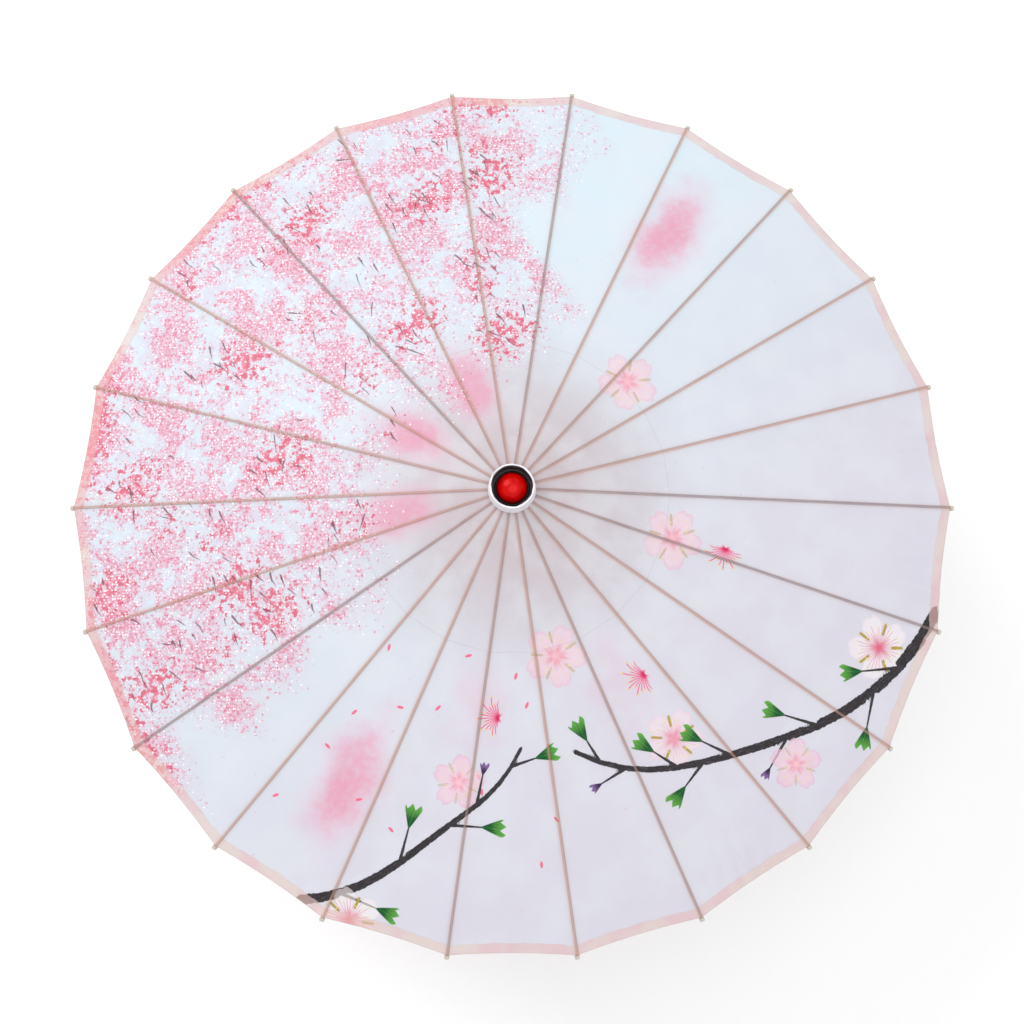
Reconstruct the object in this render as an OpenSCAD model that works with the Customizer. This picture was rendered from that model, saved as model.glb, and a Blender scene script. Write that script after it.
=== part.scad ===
// Oil paper umbrella: a bamboo frame of folding ribs and stretchers on a wooden shaft.
// Units are millimetres. Z runs up the shaft and 0 is the bottom of the handle.
// The umbrella is drawn open. Rib 01 points along +X and the others follow anticlockwise.

/* [Size] */
// Distance from the shaft's axis to the rib tips when open
tip_radius = 420; // [400:5:440]
// Whole height from the handle's end to the top of the collar
total_height = 540; // [530:5:570]
// Fall of the open ribs below level, in degrees
open_slope = 15; // [13:1:17]

/* [Ribs and stretchers] */
// Distance along a rib from its head pivot to the stretcher's pivot
pivot_span = 131; // [125:1:135]
// Width of a rib across its run
rib_width = 3.6; // [3.2:0.1:3.8]
// Width of a stretcher, which has to enter the rib's slot
stretcher_width = 2.2; // [1.8:0.1:2.2]
// Radius of the thread pin through each rib and stretcher
pin_radius = 0.6; // [0.5:0.05:0.6]

/* [Shaft and handle] */
// Radius of the round wooden shaft
shaft_radius = 7.5; // [7:0.1:7.8]
// Radius of the turned grip
grip_radius = 11; // [10:0.5:12]
// Length of the turned grip
grip_length = 94; // [88:1:96]

/* [Canopy] */
// Thickness of the oiled paper with its silk face
canopy_thickness = 0.6; // [0.5:0.1:0.7]
// How far each rib tip stands out past the canopy's corner
tip_proud = 2.5; // [2:0.5:6]
// How far the hem curves in between two ribs
hem_hollow = 2; // [1:0.5:6]

/* [Hidden] */
$fn = 48;
n_ribs = 22;
pitch = 360 / n_ribs;
half_pitch = pitch / 2;
// the ring that the rib ends and the stretcher ends turn on, in the head and in the runner alike
ring_r = 16;
wire_r = 0.6;
hole_r = 0.68;
slot_w = stretcher_width + 0.4;
tongue_w = 2.2;
flange_r = 20;
slot_in = 12.6;
fit_gap = 0.03;
run_gap = 0.08;
closed_tilt = 2;
head_z = total_height - 24;
rib_len = (tip_radius - ring_r) / cos(open_slope);
runner_z = head_z - 2 * pivot_span * sin(open_slope);
travel = 2 * pivot_span * cos(closed_tilt) - 2 * pivot_span * sin(open_slope);
mid_r = ring_r + pivot_span * cos(open_slope);
mid_z = head_z - pivot_span * sin(open_slope);
rib_top = 5;
canopy_under = rib_top + 0.3;
grip_top = grip_length + 2;
barrel_len = 48;
latch_pin_z = runner_z - barrel_len - 48;
latch_tip_z = runner_z - barrel_len - 0.5;
latch_in = 3;

function two(i) = i < 10 ? str("0", i) : str(i);
rib_names = [for (i = [1:n_ribs]) str("rib_", two(i))];
stretcher_names = [for (i = [1:n_ribs]) str("stretcher_", two(i))];

// a point of the plane through rib i, given along the rib (t) and square to it (h)
function rib_r(t, h) = ring_r + t * cos(open_slope) + h * sin(open_slope);
function rib_z(t, h) = head_z - t * sin(open_slope) + h * cos(open_slope);
function round_point(r, z, angle) = [r * cos(angle), r * sin(angle), z];

module around(i) {
    rotate([0, 0, (i - 1) * pitch]) children();
}

module cross_bore(r, len) {
    rotate([90, 0, 0]) cylinder(r = r, h = len, center = true);
}

module ring_wire(r) {
    rotate_extrude($fn = 96) translate([ring_r, 0]) circle(r = r, $fn = 24);
}

module radial_slots(low, high) {
    for (i = [1:n_ribs])
        around(i) translate([slot_in, -slot_w / 2, low]) cube([12, slot_w, high - low]);
}

// Shaft, with the slot that the catch lies in and the two cross holes
module shaft() {
    color("burlywood")
    difference() {
        translate([0, 0, 12.2]) cylinder(r = shaft_radius, h = head_z + 15 - 12.2);
        rotate([0, 0, -90])
            translate([-1.6, -1.4, latch_pin_z - 6])
            cube([12, 2.8, latch_tip_z - latch_pin_z + 8]);
        translate([0, -latch_in, latch_pin_z])
            rotate([0, 90, 0]) cylinder(r = 0.83, h = 20, center = true);
        translate([0, 0, head_z - 11])
            rotate([0, 90, 0]) cylinder(r = 1.03, h = 20, center = true);
        translate([0, 0, grip_length - 8])
            rotate([0, 90, 0]) cylinder(r = 1.03, h = 20, center = true);
    }
}

// Turned grip with a rounded end, bored for the shaft
module handle_grip() {
    g = grip_radius;
    color("sienna")
    difference() {
        rotate_extrude($fn = 96)
            polygon([
                [0, 0], [g - 3, 0], [g - 1.4, 0.6], [g - 0.5, 1.6], [g, 3.4],
                [g, grip_top - 1], [g - 1, grip_top], [0, grip_top]
            ]);
        translate([0, 0, 12]) cylinder(r = shaft_radius + fit_gap, h = grip_length);
        translate([0, 0, grip_length - 8])
            rotate([0, 90, 0]) cylinder(r = 1.03, h = 40, center = true);
    }
}

// Brass ring that closes the grip's top edge
module grip_ferrule() {
    g = grip_radius;
    s = shaft_radius + fit_gap;
    color("gold")
    translate([0, 0, grip_top])
        rotate_extrude($fn = 96)
        polygon([[s, 0], [g + 0.6, 0], [g + 0.6, 5], [g - 0.2, 7], [s + 1, 8], [s, 8]]);
}

// Wooden peg that holds the grip on the shaft
module grip_pin() {
    color("saddlebrown")
    translate([0, 0, grip_length - 8])
        rotate([0, 90, 0]) cylinder(r = 1, h = 2 * grip_radius - 0.8, center = true);
}

// Notched head: a tooth between every two ribs, a groove for the wire and a boss above
module head_hub() {
    color("dimgray")
    translate([0, 0, head_z])
    difference() {
        rotate_extrude($fn = 96)
            polygon([
                [0, -16], [11, -16], [12, -15], [12, -7], [15, -5.5], [flange_r, -5.5],
                [flange_r, 3], [15.8, 3], [15.8, 8], [15, 9], [0, 9]
            ]);
        translate([0, 0, -20]) cylinder(r = shaft_radius + fit_gap, h = 40);
        radial_slots(-8, 6.2);
        ring_wire(wire_r + fit_gap);
        translate([0, 0, -11])
            rotate([0, 90, 0]) cylinder(r = 1.03, h = 40, center = true);
    }
}

// Wire that threads every tooth of the head and every rib end
module head_wire() {
    color("silver") translate([0, 0, head_z]) ring_wire(wire_r);
}

// Peg that holds the head on the shaft
module head_pin() {
    color("saddlebrown")
    translate([0, 0, head_z - 11])
        rotate([0, 90, 0]) cylinder(r = 1, h = 23, center = true);
}

// Notched runner with the barrel that the hand slides
module runner_hub() {
    low = -barrel_len;
    color("peru")
    translate([0, 0, runner_z])
    difference() {
        rotate_extrude($fn = 96)
            polygon([
                [0, low], [12, low], [13, low + 1], [13, low + 3], [11.5, low + 4.5],
                [11.5, -7.5], [13, -6], [flange_r, -6], [flange_r, 6], [13, 6],
                [11, 8], [0, 8]
            ]);
        translate([0, 0, low - 1]) cylinder(r = shaft_radius + run_gap, h = barrel_len + 12);
        radial_slots(-8, 8.5);
        ring_wire(wire_r + fit_gap);
    }
}

// Wire that threads every tooth of the runner and every stretcher end
module runner_wire() {
    color("silver") translate([0, 0, runner_z]) ring_wire(wire_r);
}

// Sprung catch in the shaft. Its shoulder stands under the runner's barrel.
module latch_spring() {
    top = latch_tip_z - latch_pin_z;
    color("gainsboro")
    translate([0, 0, latch_pin_z])
        rotate([0, 0, -90])
        rotate([90, 0, 0])
        difference() {
            linear_extrude(height = 2.2, center = true)
                polygon([
                    [latch_in - 1.6, -3], [latch_in + 1.6, -3], [latch_in + 2.6, 6],
                    [6.6, 14], [10.8, top - 5], [10.8, top], [8.4, top],
                    [8.4, top - 6], [5, 14], [latch_in - 1.2, 6]
                ]);
            translate([latch_in, 0, 0]) cylinder(r = 0.86, h = 10, center = true);
        }
}

// Pin that the catch turns on
module latch_pin() {
    color("silver")
    translate([0, -latch_in, latch_pin_z])
        rotate([0, 90, 0]) cylinder(r = 0.8, h = 13, center = true);
}

// Red lacquered knob on the shaft's top end
module finial() {
    dome_r = 15.7;
    color("red")
    translate([0, 0, head_z + 9])
    difference() {
        union() {
            cylinder(r = 14.2, h = 4, $fn = 96);
            intersection() {
                translate([0, 0, 4 + 9 - dome_r]) sphere(r = dome_r, $fn = 96);
                translate([0, 0, 4]) cylinder(r = 14.2, h = 12, $fn = 96);
            }
        }
        translate([0, 0, -1]) cylinder(r = shaft_radius + fit_gap, h = 7.2);
    }
}

// White collar that covers the canopy's inner edge and stands round the knob
module cap_collar() {
    z0 = head_z;
    color("white")
    rotate_extrude($fn = 96)
        polygon([
            [15.85, z0 + 6.3], [21.3, z0 + 4.9], [21.4, z0 + 6.2], [20, z0 + 22.8],
            [19.4, z0 + 24], [18.4, z0 + 23.6], [17.7, z0 + 22.6], [18, z0 + 9],
            [15.85, z0 + 8.6]
        ]);
}

// Canopy: one flat gore between each two ribs, with a hem that curves in
canopy_steps = 6;
canopy_in = 16.6;
canopy_out = tip_radius - tip_proud;
function gore_point(i, u, r, h) =
    let (
        a = i * pitch,
        z = head_z + h + canopy_under / cos(open_slope) - (r - ring_r) * tan(open_slope),
        p = round_point(r, z, a),
        q = round_point(r, z, a + pitch)
    ) p * (1 - u) + q * u;
function hem_r(u) = canopy_out - hem_hollow * 4 * u * (1 - u);
module canopy() {
    rise = canopy_thickness / cos(open_slope);
    m = n_ribs * canopy_steps;
    us = [for (k = [0:m - 1]) [floor(k / canopy_steps), (k % canopy_steps) / canopy_steps]];
    outer_low = [for (s = us) gore_point(s[0], s[1], hem_r(s[1]), 0)];
    outer_high = [for (s = us) gore_point(s[0], s[1], hem_r(s[1]), rise)];
    inner_low = [for (s = us) gore_point(s[0], s[1], canopy_in, 0)];
    inner_high = [for (s = us) gore_point(s[0], s[1], canopy_in, rise)];
    color("lavenderblush")
    polyhedron(
        points = concat(outer_low, outer_high, inner_low, inner_high),
        faces = [
            for (k = [0:m - 1]) let (n = (k + 1) % m) each [
                [m + k, m + n, 3 * m + n, 3 * m + k],
                [n, k, 2 * m + k, 2 * m + n],
                [k, n, m + n, m + k],
                [2 * m + n, 2 * m + k, 3 * m + k, 3 * m + n]
            ]
        ]
    );
}

// One straight run of thread from each rib to the next, stopped short of the next run
module thread_ring(t, h, r) {
    ring = rib_r(t, h);
    side = 2 * ring * sin(half_pitch);
    for (i = [1:n_ribs])
        around(i)
            translate([ring, 0, rib_z(t, h)])
            rotate([0, 0, half_pitch])
            rotate([-90, 0, 0])
            translate([0, 0, 0.1])
            cylinder(r = r, h = side - 0.2, $fn = 24);
}

// Thread in the canopy's hem, run through every rib tip
module rim_thread() {
    color("tan") thread_ring(rib_len - 12, 3.2, 0.4);
}

// Thread that spaces the ribs above the stretcher pivots
module pivot_thread() {
    color("tan") thread_ring(pivot_span, 3.5, 0.3);
}

// Rib, with its tongue in the head and the slot that the stretcher folds into
module rib(i) {
    color("wheat")
    around(i)
        translate([ring_r, 0, head_z])
        rotate([0, open_slope, 0]) {
            difference() {
                rotate([90, 0, 0])
                    linear_extrude(height = rib_width, center = true) {
                        polygon([
                            [-1, 0], [-1, rib_top], [rib_len, rib_top], [rib_len, 2],
                            [rib_len - 2, 1.2], [230, -1.5], [0, -1.5]
                        ]);
                        circle(r = 2.4);
                    }
                for (side = [-1, 1])
                    translate([-4, side * (tongue_w / 2 + 2) - 2, -4]) cube([12, 4, 12]);
                translate([pivot_span - 14, -slot_w / 2, -5]) cube([64, slot_w, 7.3]);
                cross_bore(hole_r, 10);
                translate([pivot_span, 0, 0]) cross_bore(pin_radius + fit_gap, 10);
                translate([pivot_span, 0, 3.5]) cross_bore(0.6, 10);
                translate([rib_len - 12, 0, 3.2]) cross_bore(0.75, 10);
            }
            translate([pivot_span, 0, 0]) cross_bore(pin_radius, rib_width);
        }
}

// Stretcher, from the rib's pivot in to the runner
module stretcher(i) {
    color("navajowhite")
    around(i)
        translate([mid_r, 0, mid_z])
        rotate([0, 180 - open_slope, 0])
        difference() {
            rotate([90, 0, 0])
                linear_extrude(height = stretcher_width, center = true) {
                    circle(r = 1.9);
                    translate([pivot_span, 0]) circle(r = 2.2);
                    polygon([
                        [0, -1.7], [12, -3.5], [pivot_span - 8, -3.5], [pivot_span, -2],
                        [pivot_span, 1.5], [0, 1.5]
                    ]);
                }
            cross_bore(pin_radius + run_gap, 10);
            translate([pivot_span, 0, 0]) cross_bore(hole_r, 10);
        }
}

shaft();
handle_grip();
grip_ferrule();
grip_pin();
head_hub();
head_wire();
head_pin();
runner_hub();
runner_wire();
latch_spring();
latch_pin();
finial();
cap_collar();
canopy();
rim_thread();
pivot_thread();
for (i = [1:n_ribs]) {
    rib(i);
    stretcher(i);
}
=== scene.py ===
# %% [markdown]
# # An oil paper umbrella, open, seen from above
#
# The real object is split from bamboo, tied with cotton and covered in paper. Twenty-two ribs
# turn in a notched head, a runner pushes them up, and the paper is glued over their flat backs.
# This lesson finishes such an umbrella piece by piece. The hard parts come in as a frame, and
# the soft parts (the paper and the threads) are made here as surfaces worked out with numpy.

# %% Load the frame
import math
import bpy
import numpy as np
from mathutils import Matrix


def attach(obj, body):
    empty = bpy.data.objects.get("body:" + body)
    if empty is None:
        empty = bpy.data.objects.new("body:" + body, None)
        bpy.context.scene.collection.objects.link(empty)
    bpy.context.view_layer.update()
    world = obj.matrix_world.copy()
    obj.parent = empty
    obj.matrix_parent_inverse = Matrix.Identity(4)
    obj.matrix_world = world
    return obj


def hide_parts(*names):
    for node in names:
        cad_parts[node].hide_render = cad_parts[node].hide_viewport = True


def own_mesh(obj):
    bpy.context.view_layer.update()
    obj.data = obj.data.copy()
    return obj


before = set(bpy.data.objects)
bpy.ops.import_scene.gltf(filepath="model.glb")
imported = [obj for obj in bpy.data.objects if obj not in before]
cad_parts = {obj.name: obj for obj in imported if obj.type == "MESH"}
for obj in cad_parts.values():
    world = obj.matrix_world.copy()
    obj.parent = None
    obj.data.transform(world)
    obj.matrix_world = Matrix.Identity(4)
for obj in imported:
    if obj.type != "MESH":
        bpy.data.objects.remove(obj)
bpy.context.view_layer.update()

# %% [markdown]
# ## The sizes that everything follows
#
# All lengths are in millimetres while we think about paper, and are divided by 1000 only when a
# mesh is made. The ribs lean 15 degrees down from the head, so one metre along a rib is
# `cos(15)` metres outwards and `sin(15)` metres down. Keeping these few numbers in one place
# means that the paper, the thread and the paint all agree on where a rib runs.

# %% Sizes
RIBS = 22
PITCH = 2 * math.pi / RIBS
SLOPE = math.radians(15)
RING = 16.0
HEAD = 516.0
RIB_LENGTH = 418.25
HEM = 417.5
HOLLOW = 2.0
PAPER = 0.6
print("one gore covers", round(math.degrees(PITCH), 2), "degrees")

# %% [markdown]
# ## Helpers that turn grids into pieces
#
# Every new piece is a grid: rows one way, columns the other, each crossing a point in space.
# Four-cornered faces join the crossings. The whole grid is worked out at once as arrays, which
# is quick even for a hundred thousand points, and `foreach_set` hands it to the mesh.

# %% Grid helpers
def grid_faces(rows, columns, ring=False):
    """Faces between the crossings of a grid, numbered row by row. With ring, the last column
    joins the first. Seen with rows going up and columns going right, faces look at you."""
    across = columns if ring else columns - 1
    r = np.arange(rows - 1)[:, None] * columns
    c = np.arange(across)[None, :]
    n = (c + 1) % columns
    return np.stack([r + c, r + n, r + columns + n, r + columns + c], -1).reshape(-1, 4)


def make_piece(name, points, faces, material, crease=40, carry=None):
    """A mesh from points in millimetres and four-cornered faces. Edges sharper than crease
    degrees stay crisp, and carry holds extra values for each point, by name."""
    mesh = bpy.data.meshes.new(name)
    mesh.vertices.add(len(points))
    mesh.vertices.foreach_set("co", (points * 0.001).astype(np.float32).ravel())
    mesh.loops.add(faces.size)
    mesh.loops.foreach_set("vertex_index", faces.astype(np.int32).ravel())
    mesh.polygons.add(len(faces))
    mesh.polygons.foreach_set("loop_start", np.arange(0, faces.size, 4, dtype=np.int32))
    mesh.update(calc_edges=True)
    mesh.polygons.foreach_set("use_smooth", np.ones(len(faces), bool))
    mesh.set_sharp_from_angle(angle=math.radians(crease))
    for title, values in (carry or {}).items():
        kind = "FLOAT_VECTOR" if values.ndim == 2 else "FLOAT"
        layer = mesh.attributes.new(title, kind, "POINT")
        layer.data.foreach_set("vector" if values.ndim == 2 else "value",
                               values.astype(np.float32).ravel())
    piece = bpy.data.objects.new(name, mesh)
    bpy.context.scene.collection.objects.link(piece)
    mesh.materials.append(material)
    return piece


def turned(profile, sides=128, wobble=None):
    """A lathe: each (radius, height) of the profile goes once round the Z axis. The profile runs
    up the outside, and wobble, if given, is a function of (angle, row) that adds to the radius."""
    radius, height = np.array(profile, float).T[:, :, None]
    angle = np.linspace(0, 2 * math.pi, sides, endpoint=False)[None, :]
    radius = radius + (wobble(angle, np.arange(len(profile))[:, None]) if wobble else 0)
    points = np.stack([radius * np.cos(angle), radius * np.sin(angle),
                       height + 0 * angle], -1).reshape(-1, 3)
    return points, grid_faces(len(profile), sides, ring=True)


def rounded(profile, steps=4):
    """The same profile with each corner cut by a small quarter turn: between the middles of two
    neighbouring sides the line follows a curve pulled towards the corner."""
    p = np.array(profile, float)
    out = [p[:1]]
    t = np.linspace(0, 1, steps + 1)[:, None]
    for a, b, c in zip(p[:-2], p[1:-1], p[2:]):
        cut = min(0.35 * np.linalg.norm(a - b), 0.35 * np.linalg.norm(c - b), 0.6)
        start = b + (a - b) / max(np.linalg.norm(a - b), 1e-9) * cut
        end = b + (c - b) / max(np.linalg.norm(c - b), 1e-9) * cut
        out.append((1 - t) ** 2 * start + 2 * t * (1 - t) * b + t ** 2 * end)
    return np.vstack(out + [p[-1:]])


print("grid of 3 by 4 has", len(grid_faces(3, 4)), "faces")

# %% [markdown]
# ## The paper: twenty-two gores of one taut sheet
#
# On the real umbrella the cover is pasted up from gores that run from the head to the rim. It
# could be a single mesh, but then it could not fold with the ribs. So each rib carries the gore
# that is centred on it, and two gores meet along the middle of a panel, where the surface is
# level from side to side. Their edges then share the same places and the same slope, and the
# eye reads one continuous sheet.
#
# Between two ribs the paper is a chord: a straight line from one rib to the next at the same
# distance from the head. Damp paper shrinks as it dries and pulls slightly hollow, so we lower
# the middle of each panel by about a millimetre with a squared sine, which starts and ends flat.

# %% The gore surface
ROWS, COLUMNS = 221, 63


def smooth(x, low, high):
    """0 below low, 1 above high, and an easy S-shaped curve between them."""
    t = np.clip((x - low) / (high - low), 0, 1)
    return t * t * (3 - 2 * t)


def gore_grid():
    """Place of every crossing of all gores at once, in mm: (gore, row, column). v goes from -1/2
    to 1/2 across the gore and t from 0 to 1 down it. A point is the mix, by |v|, of the same
    distance r along this rib and along its neighbour, lowered by sag * sin(pi v) squared."""
    v = np.linspace(-0.5, 0.5, COLUMNS)[None, None, :]
    t = (np.linspace(0, 1, ROWS) ** 0.93)[None, :, None]
    own = (np.arange(RIBS) * PITCH)[:, None, None]
    next_rib = own + np.sign(v) * PITCH
    u = np.abs(v)
    hem = HEM - HOLLOW * 4 * u * (1 - u)
    r = 16.6 + (hem - 16.6) * t
    x = r * ((1 - u) * np.cos(own) + u * np.cos(next_rib))
    y = r * ((1 - u) * np.sin(own) + u * np.sin(next_rib))
    hollow = np.sin(math.pi * v) ** 2
    sag = 1.1 * smooth(r, 60, 330) * hollow
    way = np.arctan2(y, x)
    ripple = (0.35 * np.sin(r / 23 + 9 * way) + 0.25 * np.sin(r / 11 - 23 * way + 1.3))
    pucker = 2.0 * np.sin(way * 150 + r / 16) * smooth(r, 345, 405) * (
        np.exp(-((way + 0.27) / 0.1) ** 2) + 0.3 * np.exp(-((way - 0.12) / 0.2) ** 2)
        + 0.4 * np.exp(-((way + 0.95) / 0.15) ** 2))
    z = HEAD + 5.3 / math.cos(SLOPE) - (r - RING) * math.tan(SLOPE)
    z = z - sag + hollow * smooth(r, 120, 300) * (ripple * 0.5 + pucker)
    edge = hem - r
    across = v * 2 * r * math.sin(PITCH / 2)
    return np.stack([x + 0 * z, y + 0 * z, z], -1), across + 0 * z, r + 0 * z, edge + 0 * z


gore_points, gore_across, gore_run, gore_edge = gore_grid()
print("a gore is", round(float(np.ptp(gore_across[0, -1])), 1), "mm wide at the rim and has",
      ROWS * COLUMNS, "crossings")

# %% [markdown]
# ## Planning the painting
#
# The cover is painted before it is oiled: blossom clouds dabbed over the left half, and a spray
# of twigs, leaves and blossoms low on the right. A flat picture could be projected on the
# cover, but the paper folds up with the ribs, so the paint has to travel with it. Instead every
# crossing of the grid carries a few numbers: how far it is from the nearest twig, and where it
# lies in the nearest leaf or blossom, measured in that leaf's own size. The shader draws the
# shapes from those numbers. Between crossings they change evenly, so edges come out crisp.
#
# The painting is a general one, drawn by rule from a few round angles and distances. Two boughs
# wind inwards from the rim like the spring of a clock. Twigs leave each bough in turn to its
# left and right, and every twig ends in a leaf or a bud. Every third twig has a blossom beside
# its foot. Where marks should look strewn, such as petals and the hearts of the clouds, each one
# turns on by the golden angle from the last, as seeds do in a sunflower.

# %% The painter's rules
GOLDEN = 137.508


def at(radius, azimuth):
    """The place that lies radius mm from the middle, azimuth degrees round from X."""
    way = math.radians(azimuth)
    return radius * math.cos(way), radius * math.sin(way)


def bough(rim, turn, inner, thick, thin, steps=15):
    """A spiral: the azimuth runs evenly from rim to rim + turn degrees while the radius falls
    evenly from past the hem to inner, with a small wave so that it looks grown."""
    share = np.linspace(0, 1, steps)
    points = [at(412 - (412 - inner) * u + 5 * math.sin(9 * u), rim + turn * u) for u in share]
    return points, thick, thin


def dressed(line, twigs, first_turn):
    """What grows on a bough: twigs at equal steps, in turn 40 degrees to either side, shorter
    towards the tip, each with a leaf (every fourth a bud). Every third twig has a blossom
    beside its foot, on the twig's own side, where the leaves before and after leave room."""
    p = np.array(line)
    shares = np.linspace(0.14, 0.94, twigs)
    new_twigs, new_leaves, flowers = [], [], []
    for k, u in enumerate(shares):
        foot = p[round(u * (len(p) - 1))]
        ahead = p[min(round(u * (len(p) - 1)) + 1, len(p) - 1)] - p[round(u * (len(p) - 1)) - 1]
        heading = math.degrees(math.atan2(ahead[1], ahead[0])) + (40 if k % 2 else -40)
        step = np.array(at(1, heading))
        length = 40 - 16 * u
        new_twigs.append(([tuple(foot), tuple(foot + step * length * 0.5),
                           tuple(foot + step * length)], 3.2, 1.2))
        bud = k % 4 == 3
        size = 6 if bud else 11
        new_leaves.append((*(foot + step * (length + size * 0.8)), heading, size, int(bud)))
        if k % 3 == 0:
            side = np.array([-ahead[1], ahead[0]]) / np.linalg.norm(ahead) * (1 if k % 2 else -1)
            flowers.append((*(foot + side * 26), first_turn + GOLDEN * k, (32, 26, 29)[k // 3 % 3],
                            (0.95, 0.1, 0.5)[k // 3 % 3]))
    return new_twigs, new_leaves, flowers


TWIGS = [bough(-14, -62, 235, 11, 4), bough(-118, 30, 225, 9, 3)]
LEAVES, flowers = [], []
for line, twigs in ((TWIGS[0][0], 9), (TWIGS[1][0], 5)):
    more_twigs, more_leaves, more_flowers = dressed(line, twigs, 20 * twigs)
    TWIGS, LEAVES = TWIGS + more_twigs, LEAVES + more_leaves
    flowers += more_flowers
BLOSSOMS, LATE_BLOSSOMS = flowers[0::2], flowers[1::2]
BLOSSOMS += [(*at(150, az), az, 30, 0.2) for az in (-75, -15, 45)]
SPRAYS = [(*at(200, az), az - 90, 20, 0) for az in (-95, -55, -15)]
PETALS = [at(150 + 13 * k, -105 + 24 * math.sin(math.radians(GOLDEN * k))) for k in range(16)]
CLUSTERS = [(*at(395 * math.sqrt((k + 4) / 40), 150 + 58 * math.sin(math.radians(GOLDEN * k))),
             18 + 7 * (k % 3), 0.35 + 0.2 * (k % 3)) for k in range(36)]
WASHES = [(*at(105, az), 46, 28, az, 0.7) for az in (110, 150, 190)]
WASHES += [(*at(300, 150 + side), 70, 34, 150 + side, 0.7) for side in (-90, 90)]
WASHES += [(*at(190, az), 60, 40, az, 0.35) for az in (-100, -60)]
print(len(TWIGS), "boughs and twigs,", len(LEAVES), "leaves and buds,",
      len(BLOSSOMS) + len(LATE_BLOSSOMS), "blossoms")

# %% Measuring each crossing against the plan
def nearest_line(x, y, lines):
    """Offset to the left of the nearest line, how far along it, its half width there, and the
    plain distance. A point is dropped at right angles on to each straight stretch, and the
    stretch where that drop is shortest wins."""
    far = np.full(x.shape, 1e3)
    offset, along, half = far.copy(), np.zeros(x.shape), np.ones(x.shape)
    for line, first, last in lines:
        p = np.array(line, float)
        lengths = np.linalg.norm(np.diff(p, axis=0), axis=1)
        done = 0.0
        for a, b, length in zip(p[:-1], p[1:], lengths):
            dx, dy = (b - a) / length
            s = np.clip((x - a[0]) * dx + (y - a[1]) * dy, 0, length)
            gx, gy = x - a[0] - s * dx, y - a[1] - s * dy
            distance = np.hypot(gx, gy)
            side = np.where(dx * (y - a[1]) - dy * (x - a[0]) >= 0, 1, -1)
            won = distance < far
            far = np.where(won, distance, far)
            offset = np.where(won, distance * side, offset)
            along = np.where(won, done + s, along)
            share = (done + s) / lengths.sum()
            half = np.where(won, (first + (last - first) * share) / 2, half)
            done += length
    return np.stack([offset, along, half], -1), far


def nearest_mark(x, y, marks):
    """Where a point lies in its nearest mark, in that mark's own size: forwards along its
    heading, to its left, and the mark's tone. The last value is the distance in sizes."""
    best = np.full(x.shape, 1e3)
    forward, left, shade = np.full(x.shape, 9.0), np.full(x.shape, 9.0), np.zeros(x.shape)
    for mx, my, heading, size, tone in marks:
        c, s = math.cos(math.radians(heading)), math.sin(math.radians(heading))
        f = ((x - mx) * c + (y - my) * s) / size
        l = ((y - my) * c - (x - mx) * s) / size
        distance = np.hypot(f, l)
        won = distance < best
        best = np.where(won, distance, best)
        forward, left = np.where(won, f, forward), np.where(won, l, left)
        shade = np.where(won, tone, shade)
    return np.stack([forward, left, shade], -1), np.minimum(best, 9)


def stains(x, y, marks):
    """The strongest of several soft round or oval stains, each a bell curve of distance."""
    total = np.zeros(x.shape)
    for mx, my, long, short, turn, strength in marks:
        c, s = math.cos(math.radians(turn)), math.sin(math.radians(turn))
        f, l = (x - mx) * c + (y - my) * s, (y - my) * c - (x - mx) * s
        total = np.maximum(total, strength * np.exp(-(f / long) ** 2 - (l / short) ** 2))
    return total


def scattered_twigs(clusters, each=9):
    """Short thin strokes round the middle of every cluster, all leaning much the same way, as
    a hand makes them: a middle, a heading near -55 degrees, a length and a slight bend."""
    chance = np.random.default_rng(7)
    lines = []
    for mx, my, radius, strength in clusters:
        for _ in range(int(each * strength)):
            cx, cy = (mx, my) + chance.normal(0, radius * 0.6, 2)
            heading = math.radians(chance.normal(-52, 22))
            length, bend = chance.uniform(5, 15), chance.normal(0, 1.2)
            step = np.array([math.cos(heading), math.sin(heading)]) * length / 2
            side = np.array([-step[1], step[0]]) / length * bend
            middle = np.array([cx, cy])
            lines.append((list(map(tuple, (middle - step, middle + side, middle + step))),
                          chance.uniform(1.0, 2.2), 0.5))
    return lines


cloud_twigs = scattered_twigs(CLUSTERS)
px, py = gore_points[..., 0], gore_points[..., 1]
twig, twig_gap = nearest_line(px, py, TWIGS)
thin, thin_gap = nearest_line(px, py, cloud_twigs)
leaf, leaf_gap = nearest_mark(px, py, LEAVES)
early, early_gap = nearest_mark(px, py, BLOSSOMS)
late, late_gap = nearest_mark(px, py, LATE_BLOSSOMS)
spray, spray_gap = nearest_mark(px, py, SPRAYS)
fallen, fallen_gap = nearest_mark(px, py, [(a, b, (a * 7 + b * 3) % 180, 4.5, 0)
                                           for a, b in PETALS])
print("painted crossings:", int((twig_gap < twig[..., 2]).sum()), "on twigs,",
      int((leaf_gap < 1).sum()), "on leaves")

# %% [markdown]
# ## Where the blossom clouds lie
#
# The clouds fill one side of the cover, as a plain sector with soft edges in angle and in
# distance, because the dabs thin out towards the head. A few slow waves are added so that the edge wanders.

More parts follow.
